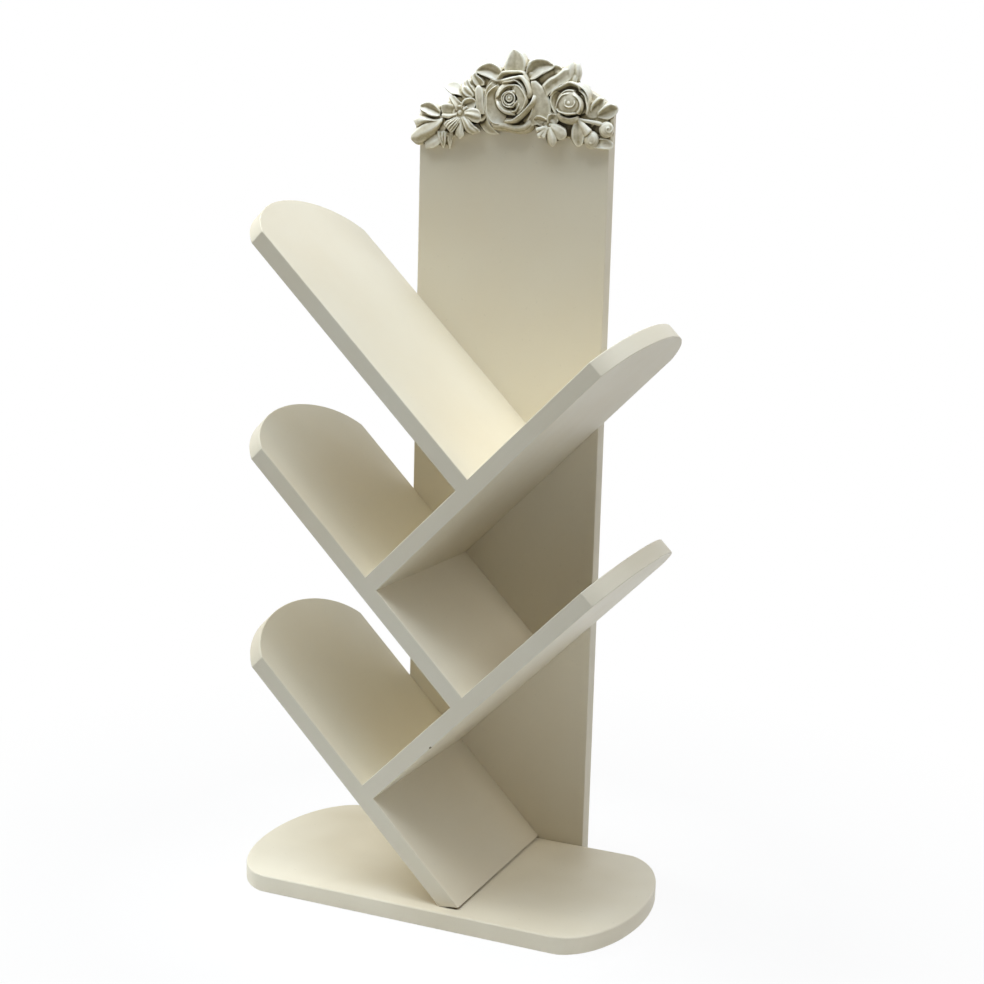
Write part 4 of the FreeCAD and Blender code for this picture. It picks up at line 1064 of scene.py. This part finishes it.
for line, radii, depths in (
        ([(-40, 30), (-36.5, 32.5)], (0.8, 0.9), (8.6, 8.4)),
        ([(-43, 27), (-42, 29.5)], (0.8, 0.9), (9.2, 9.4)),
        ([(49.5, 24), (53, 20.5), (56.5, 16), (59, 13)], (1.0, 1.5, 2.6, 4.2), (6, 6.6, 7, 6.2)),
        ([(58.5, 9), (60.5, 7), (63, 7.5), (64.5, 9.5)], (0.5, 0.7, 0.7, 0.5), (8.0, 8.6, 8.4, 7.2)),
        ([(50, 24), (56.5, 22.5), (62.5, 21.5), (69, 20)], (1.1, 1.1, 1.2, 1.8), (6.5, 7, 6.8, 5.5)),
        (bud_spiral, (0.5, 0.6, 0.6, 0.5), (9.1, 9.0, 8.4, 7.0)),
        *(([(27, 18), ((27 + x) / 2, (18.5 + z) / 2), (x, z)], (1.5, 1.7, 2.0), (7.4, 8, 8.4))
          for x, z in ((19.5, 11), (23.5, 10.5), (18, 15.5)))):
    carve_stem(flowers, line, radii, depths)
print("small flowers:", len(flowers.faces), "faces")

# %% [markdown]
# ### The two roses
# The numbers after each rim are the depth of the rim, the share of the way out at which the bowl
# starts, its depth there, the radius of the roll and the skirt. The outermost petals come first.

# %% Petals of the big rose
ROSE_CENTRE = (-3.5, 38.5)
ROSE_PETALS = [
    ([(-15, 51), (-19, 48.5), (-22, 45), (-23, 40.5), (-23, 32), (-22, 28), (-20, 23.5), (-16.5, 19.5)],
     7.5, 0.8, 6, 0.5, 0.6),
    ([(-14.5, 51.5), (-11.5, 55.5), (-9, 57), (-1, 57.5), (6, 57), (8.5, 54), (11, 50.5), (12.5, 48)],
     9.0, 0.76, 4.5, 0.7, 0.5),
    ([(-17.2, 20.4), (-14.5, 18.5), (-6.9, 18), (0.8, 16.4), (7.9, 16.8), (12.4, 19.8), (14.4, 23.4)],
     9.0, 0.9, 4.5, 2.0, 2.0),
    ([(13.5, 47.5), (15.5, 42.5), (16, 38), (15, 30), (12.5, 24), (8.5, 18)], 7.6, 0.72, 5, 0.6, 0.6),
    ([(-13, 48), (-17.5, 45.5), (-21, 42), (-22, 37.5), (-21.5, 30), (-20, 25.5), (-17, 21.5), (-12.5, 20),
      (-7, 20.5)], 9.8, 0.56, 5.0, 0.4, 0.4),
    ([(-10.5, 51), (-4.5, 52.5), (1, 53.5), (4.5, 54), (7, 52), (9.5, 48.5), (11.5, 44), (12, 40),
      (11.5, 37.5)], 12.4, 0.86, 8.5, 1.2, 0.4),
    ([(16, 40.5), (14, 35.5), (10.5, 31.5), (7, 28), (2.5, 24.5), (-1, 22.5), (-7, 22)],
     12.4, 0.9, 6.5, 0.7, 1.6),
    ([(-9.5, 49), (-8, 50), (-3.5, 50.5), (0.5, 51), (4.5, 48.5), (7, 45.5), (9, 40.5), (10, 37.5)],
     12.4, 0.92, 9, 0.3, 0.3),
    ([(-14.8, 38.6), (-12.5, 40.5), (-11, 43), (-8, 46), (-4.5, 47.5), (-1.5, 47.5), (0.5, 46.5)],
     14.0, 0.92, 10.5, 0.3, 0.4),
    ([(-13.6, 37), (-12.7, 33.2), (-10.6, 30.4), (-6, 28), (1.5, 27)], 13.8, 0.8, 9.5, 1.4, 0.3),
    ([(-3, 47.8), (1, 47.8), (4.3, 46.2), (7.5, 42), (9.3, 37.3), (7, 31), (2.6, 26.8)],
     13.0, 0.5, 12.0, 0.4, 0.3),
    ([(-3.7, 29.3), (0.3, 28.9), (2.6, 31), (4.6, 35.2)], 13.8, 0.9, 11, 0.3, 0.3),
    ([(3, 37), (1.5, 35), (-1, 32.5), (-4.5, 32), (-8, 33.5), (-9.5, 37), (-9.5, 40), (-7, 42.5),
      (-3.5, 43.5), (0, 43), (1.5, 40.5)], 14.8, 0.9, 11, 0.35, 0.3),
]
rose = bmesh.new()
carve_turned(rose, ROSE_CENTRE, [(20, FLOOR_DEPTH), (20, 3.4), (17.5, 4.2), (11.2, 4.2), (10.6, 8.4),
                                 (9.4, 9.4), (5, 10), (0, 10.2)])
for rim, *sizes in ROSE_PETALS:
    carve_petal(rose, rim, ROSE_CENTRE, *sizes)
carve_turned(rose, (-3.5, 38), [(4.9, 9.5), (4.8, 14.2), (4.5, 14.7), (4.1, 14.7), (3.8, 14.2), (3.6, 11.5),
                                (0, 11.5)])
carve_turned(rose, ROSE_CENTRE, [(2.9, 10.5), (2.8, 13.6), (2.4, 14.2), (1.9, 14.2), (1.6, 13.6), (1.2, 13.8),
                                 (0.8, 14.5), (0, 14.7)])
print("big rose:", len(rose.faces), "faces")

# %% Petals of the small rose
SMALL_CENTRE = (42.5, 35)
SMALL_PETALS = [
    ([(27.5, 40), (29.5, 43), (31.5, 45), (36, 47), (41.5, 49.5), (45.5, 49), (49.5, 47), (50.5, 44)],
     9.2, 0.74, 4.5, 0.6, 0.6),
    ([(34, 44), (30.5, 42), (28.5, 38), (29, 34), (31, 30), (34.5, 25.5)], 7.6, 0.78, 5.0, 0.5, 1.2),
    ([(50.5, 44), (54.5, 40.5), (56, 36), (57, 31), (56.5, 27)], 7.6, 0.72, 4.0, 0.5, 0.8),
    ([(34.5, 28), (37, 25.5), (40.5, 24.3), (45, 24), (50, 25.5)], 9.4, 0.96, 5.0, 0.4, 4.0),
    ([(36.5, 41.5), (39.5, 43.5), (43.5, 44), (46.5, 43)], 10.6, 0.9, 7.0, 0.35, 0.5),
    ([(32.5, 30.5), (33, 34), (34.5, 37.5), (37, 40.5), (40.5, 41.5), (44, 41.5)],
     11.4, 0.92, 9.8, 0.35, 0.5),
    ([(33, 32), (34, 29.5), (36.5, 28.3), (40, 27.5), (44, 27.3), (49, 28)], 11.2, 0.92, 9.6, 0.4, 0.3),
    ([(45, 41), (47.5, 40), (50, 37.5), (51.5, 34), (51, 30.5), (49, 27.5)], 11.8, 0.86, 9.8, 0.5, 0.5),
    ([(41.5, 38), (39.5, 36.5), (39.5, 33.5), (42, 32), (45.5, 32.5), (47, 35), (46.5, 38)],
     12.0, 0.95, 10.8, 0.3, 0.3),
]
carve_turned(flowers, SMALL_CENTRE, [(12.5, FLOOR_DEPTH), (12, 3.5), (10.5, 4.5), (9.6, 4.8), (9.0, 5.4),
                                     (8.4, 9.4), (7, 10.4), (4, 11.0), (0, 11.2)])
for rim, *sizes in SMALL_PETALS:
    carve_petal(flowers, rim, SMALL_CENTRE, *sizes, tuck=2.0)
carve_turned(flowers, SMALL_CENTRE, [(1.2, 9.5), (1.1, 11.2), (0.8, 11.6), (0, 11.8)])
print("small flowers with the small rose:", len(flowers.faces), "faces")

# %% [markdown]
# ### From carving to casting
# The solids so far only overlap. A voxel remesh melts each group into one skin, as a casting has,
# and a little smoothing takes the steps off it. Then every point is told how hollow its spot is.
# Two things say that: the mesh is smoothed a few times more, and a point that moves outwards was in
# a hollow; and a point that lies below the mean height round it is in a hollow as well. A spot that
# looks up gets less, which paints light onto the tops. The number goes into an attribute that the
# paint reads. There it darkens hollows, partly as a wash and partly as painted shade, and it lightens
# rims and tops as a painted highlight.

# %% Melt, smooth, and keep a map of the relief
MAP_LEFT, MAP_FOOT, MAP_CELL, MAP_SHAPE = -100 * MM, 520 * MM, 0.5 * MM, (400, 220)
SMOOTH_STEPS = 2
relief_map = numpy.full(MAP_SHAPE, panel_face)


def cast(name, shape, voxel):
    """One closed skin over all the solids of a carving. It is added to the map of how far the relief
    stands out at each spot of the panel."""
    bmesh.ops.recalc_face_normals(shape, faces=shape.faces)
    made = with_modifiers(name, to_mesh(name, shape), ("REMESH", {"mode": "VOXEL", "voxel_size": voxel * MM}),
                          ("SMOOTH", {"factor": 0.5, "iterations": SMOOTH_STEPS}))
    made.polygons.foreach_set("use_smooth", [True] * len(made.polygons))
    for vertex in made.vertices:
        cell = int((vertex.co.x - MAP_LEFT) / MAP_CELL), int((vertex.co.z - MAP_FOOT) / MAP_CELL)
        relief_map[cell] = min(relief_map[cell], vertex.co.y)
    return made


print("the map has", relief_map.size, "cells")

# %% Measure the hollows
SPREAD, FULL_BEND = 10, 0.45 * MM
NEAR_CELLS, SUNK_FREE, SUNK_RANGE = range(-7, 8, 2), 1.3, 4
FLAT, CREASE_SHADE_AND_RIM_LIGHT_WEIGHT, SUNK_WASH_AND_SHADE_WEIGHT, TOP_LIGHT_WEIGHT, BACK_HOLLOW = 0.5, 0.4, 0.18, 0.24, 0.44


def read_rows(items, key, width, kind=float):
    """One property of all the points or edges of a mesh, as an array with that many columns."""
    values = numpy.empty(len(items) * width, kind)
    items.foreach_get(key, values)
    return values.reshape(-1, width)


def depth_below_mean(spots):
    """How far each spot lies below the mean of the highest relief round it, in metres."""
    shifts = [(x, z) for x in NEAR_CELLS for z in NEAR_CELLS]
    mean = sum(numpy.roll(relief_map, shift, (0, 1)) for shift in shifts) / len(shifts)
    columns = ((spots[:, 0] - MAP_LEFT) / MAP_CELL).astype(int)
    rows = ((spots[:, 2] - MAP_FOOT) / MAP_CELL).astype(int)
    return spots[:, 1] - mean[columns, rows]


def measure_hollows(mesh):
    """Writes the attribute hollow: 0 on a rim, 0.5 on a flat face, 1 in a hollow, and lower on a face that
    looks up. High values paint a wash and painted shade into the colour. Low values paint a paler rubbed rim
    and a painted highlight.
    """
    spots, normals = read_rows(mesh.vertices, "co", 3), read_rows(mesh.vertices, "normal", 3)
    first, second = read_rows(mesh.edges, "vertices", 2, int).T
    count = len(spots)
    near = numpy.bincount(first, None, count) + numpy.bincount(second, None, count)
    moved = spots.copy()
    for _ in range(SPREAD):
        total = numpy.stack([numpy.bincount(first, moved[second, axis], count)
                             + numpy.bincount(second, moved[first, axis], count)
                             for axis in range(3)], axis=1)
        moved = 0.3 * moved + 0.7 * total / near[:, None]
    bend = ((moved - spots) * normals).sum(axis=1) / FULL_BEND
    sunk = depth_below_mean(spots) / MM
    # Creases and sunk spots come out darker, partly as a wash and partly as painted shade. Rims come out
    # paler, partly as rubbed wear and partly as a painted highlight.
    hollow = (FLAT + CREASE_SHADE_AND_RIM_LIGHT_WEIGHT * numpy.clip(bend, -1, 1)
              + SUNK_WASH_AND_SHADE_WEIGHT * numpy.clip(sunk - SUNK_FREE, 0, SUNK_RANGE))
    # A face that looks up is painted paler: this is painted light from above.
    hollow -= TOP_LIGHT_WEIGHT * numpy.clip(normals[:, 2], -0.5, 1)
    facing_back = numpy.clip(3 * normals[:, 1], 0, 1)
    hollow = numpy.clip(hollow * (1 - facing_back) + BACK_HOLLOW * facing_back, 0, 1)
    attribute = mesh.attributes.new("hollow", "FLOAT", "POINT")
    attribute.data.foreach_set("value", hollow.astype(numpy.float32))
    return float(hollow.mean())


print("neighbourhood:", len(NEAR_CELLS) ** 2, "cells")

# %% [markdown]
# The garland has the same ivory paint. An old wash has settled in its hollows, and the rims are
# rubbed a little paler. On top of that, the hollows carry painted shade, and the rims and the faces
# that look up carry a painted highlight. The colour follows the attribute, with some noise so that
# the edge of the wash and of the painted shade is never even.

# %% Paint for the garland
garland_paint, tree = new_material("garland_paint")
hollow = add_node(tree, "ShaderNodeAttribute", {"attribute_name": "hollow"}).outputs["Fac"]
patch = calculate(tree, "SUBTRACT", object_noise(tree, 260.0, detail=3.0), 0.5)
uneven = calculate(tree, "ADD", hollow, calculate(tree, "MULTIPLY", patch, 0.25))
brushed, grit = object_noise(tree, 500.0, detail=3.0), object_noise(tree, 1500.0)
# The palest stop is a painted highlight on rims and tops. The darkest stop is the wash together with painted
# shade.
dress(tree, (brushed, 0.18, 0.4 * MM), (grit, 0.12, 0.2 * MM),
      Base_Color=ramp(tree, uneven, (0.28, "fffbea"), (0.46, "e8dfc6"),
                      (0.62, "b3a682"), (0.84, "40361b")),
      Roughness=ramp(tree, uneven, (0.35, 0.36), (0.75, 0.62)),
      Specular_IOR_Level=0.45)
print("garland paint:", len(tree.nodes), "nodes")

# %% Cast the garland
castings = {name: cast(name, shape, voxel) for name, shape, voxel in (
    ("garland_leaves", foliage, 0.5), ("garland_small_flowers", flowers, 0.4),
    ("garland_big_rose", rose, 0.34))}
for name, casting in castings.items():
    casting.materials.clear()
    casting.materials.append(garland_paint)
    print(name, "is hollow by", round(measure_hollows(casting), 2), "on average")
    add_piece(name, casting, "cast_trim", "rose_garland")

# %% [markdown]
# ## Floor, light and background
# The rack stands on a white table in even white light. The floor and the world are white only to
# the camera and in reflections, so the background is white while the lamps stay at a plain level.
# The floor's own share of the mix keeps the soft shadow under the base. The table is whitest round
# the rack, as if it stood on a sheet of paper, so that the light comes back from below to the base.

# %% White for the camera
def seen_as_white(tree, plain, white, output, share=1.0):
    """Ends a tree: the camera and reflections see that share of white, and light meets the plain one."""
    rays = add_node(tree, "ShaderNodeLightPath").outputs
    seen = calculate(tree, "MAXIMUM", rays["Is Camera Ray"], rays["Is Glossy Ray"])
    mixed = add_node(tree, "ShaderNodeMixShader")
    tree.links.new(calculate(tree, "MULTIPLY", seen, share), mixed.inputs[0])
    for source, socket in ((plain, mixed.inputs[1]), (white, mixed.inputs[2]), (mixed, output)):
        tree.links.new(source.outputs[0], socket)


print("white comes from the rays' own kind, not from more light")

# %% Floor
FLOOR_REACH, PAPER_EDGE, TABLE_EDGE, PAPER_WHITE, TABLE_WHITE = 6.0, 0.17, 0.27, 0.95, 0.66
floor_material, tree = new_material("white_table")
spot = add_node(tree, "ShaderNodeTexCoord").outputs["Object"]
distance = add_node(tree, "ShaderNodeVectorMath", {"operation": "LENGTH"}, Vector=spot).outputs["Value"]
paper = ramp(tree, distance, (PAPER_EDGE, PAPER_WHITE), (TABLE_EDGE, TABLE_WHITE))
table = dress(tree, Base_Color=paper, Roughness=0.9)
far_out = add_node(tree, "ShaderNodeMapRange", Value=distance, From_Min=0.2, From_Max=0.55,
                   To_Min=0.9, To_Max=1.0)
white = add_node(tree, "ShaderNodeEmission", Color=tint(1.0), Strength=1.0)
seen_as_white(tree, table, white, tree.nodes["Material Output"].inputs["Surface"], far_out.outputs[0])
floor_mesh = bpy.data.meshes.new("floor")
corners = [(x * FLOOR_REACH, y * FLOOR_REACH, 0) for x, y in ((-1, -1), (1, -1), (1, 1), (-1, 1))]
floor_mesh.from_pydata(corners, [], [(0, 1, 2, 3)])
floor_mesh.materials.append(floor_material)
floor = bpy.data.objects.new("floor", floor_mesh)
scene.collection.objects.link(floor)
print("floor", 2 * FLOOR_REACH, "m wide")

# %% World and lamps
LAMP_WIDTH, LAMP_AIM, SOFT_STRENGTH = 1.5, Vector((0, 0, 0.3)), 0.02
world = bpy.data.worlds.new("studio")
scene.world = world
world.use_nodes = True
tree = world.node_tree
soft = tree.nodes["Background"]
soft.inputs["Color"].default_value = tint("f4ead8")
soft.inputs["Strength"].default_value = SOFT_STRENGTH
plain_white = add_node(tree, "ShaderNodeBackground", Color=tint(1.0), Strength=1.0)
seen_as_white(tree, soft, plain_white, tree.nodes["World Output"].inputs["Surface"])
for name, place, power, colour in (
        ("ceiling_lamp", (0, -0.3, 2.4), 36, "e2efff"),
        ("front_lamp", (0, -1.5, 2.2), 6, "edf7ff"),
        ("left_lamp", (-1.7, 0, 2.1), 43, "f9fcfa"),
        ("right_lamp", (1.7, 0, 2.3), 20, "fffdfa"),
        ("back_lamp", (0, 1.5, 2.2), 5, "f4fbff")):
    data = bpy.data.lights.new(name, "AREA")
    data.size = LAMP_WIDTH
    data.energy = power
    data.color = tint(colour)[:3]
    lamp = bpy.data.objects.new(name, data)
    look = (LAMP_AIM - Vector(place)).to_track_quat("-Z", "Y").to_matrix().to_4x4()
    lamp.matrix_world = Matrix.Translation(place) @ look
    scene.collection.objects.link(lamp)
print("five lamps and a little soft light from the world")
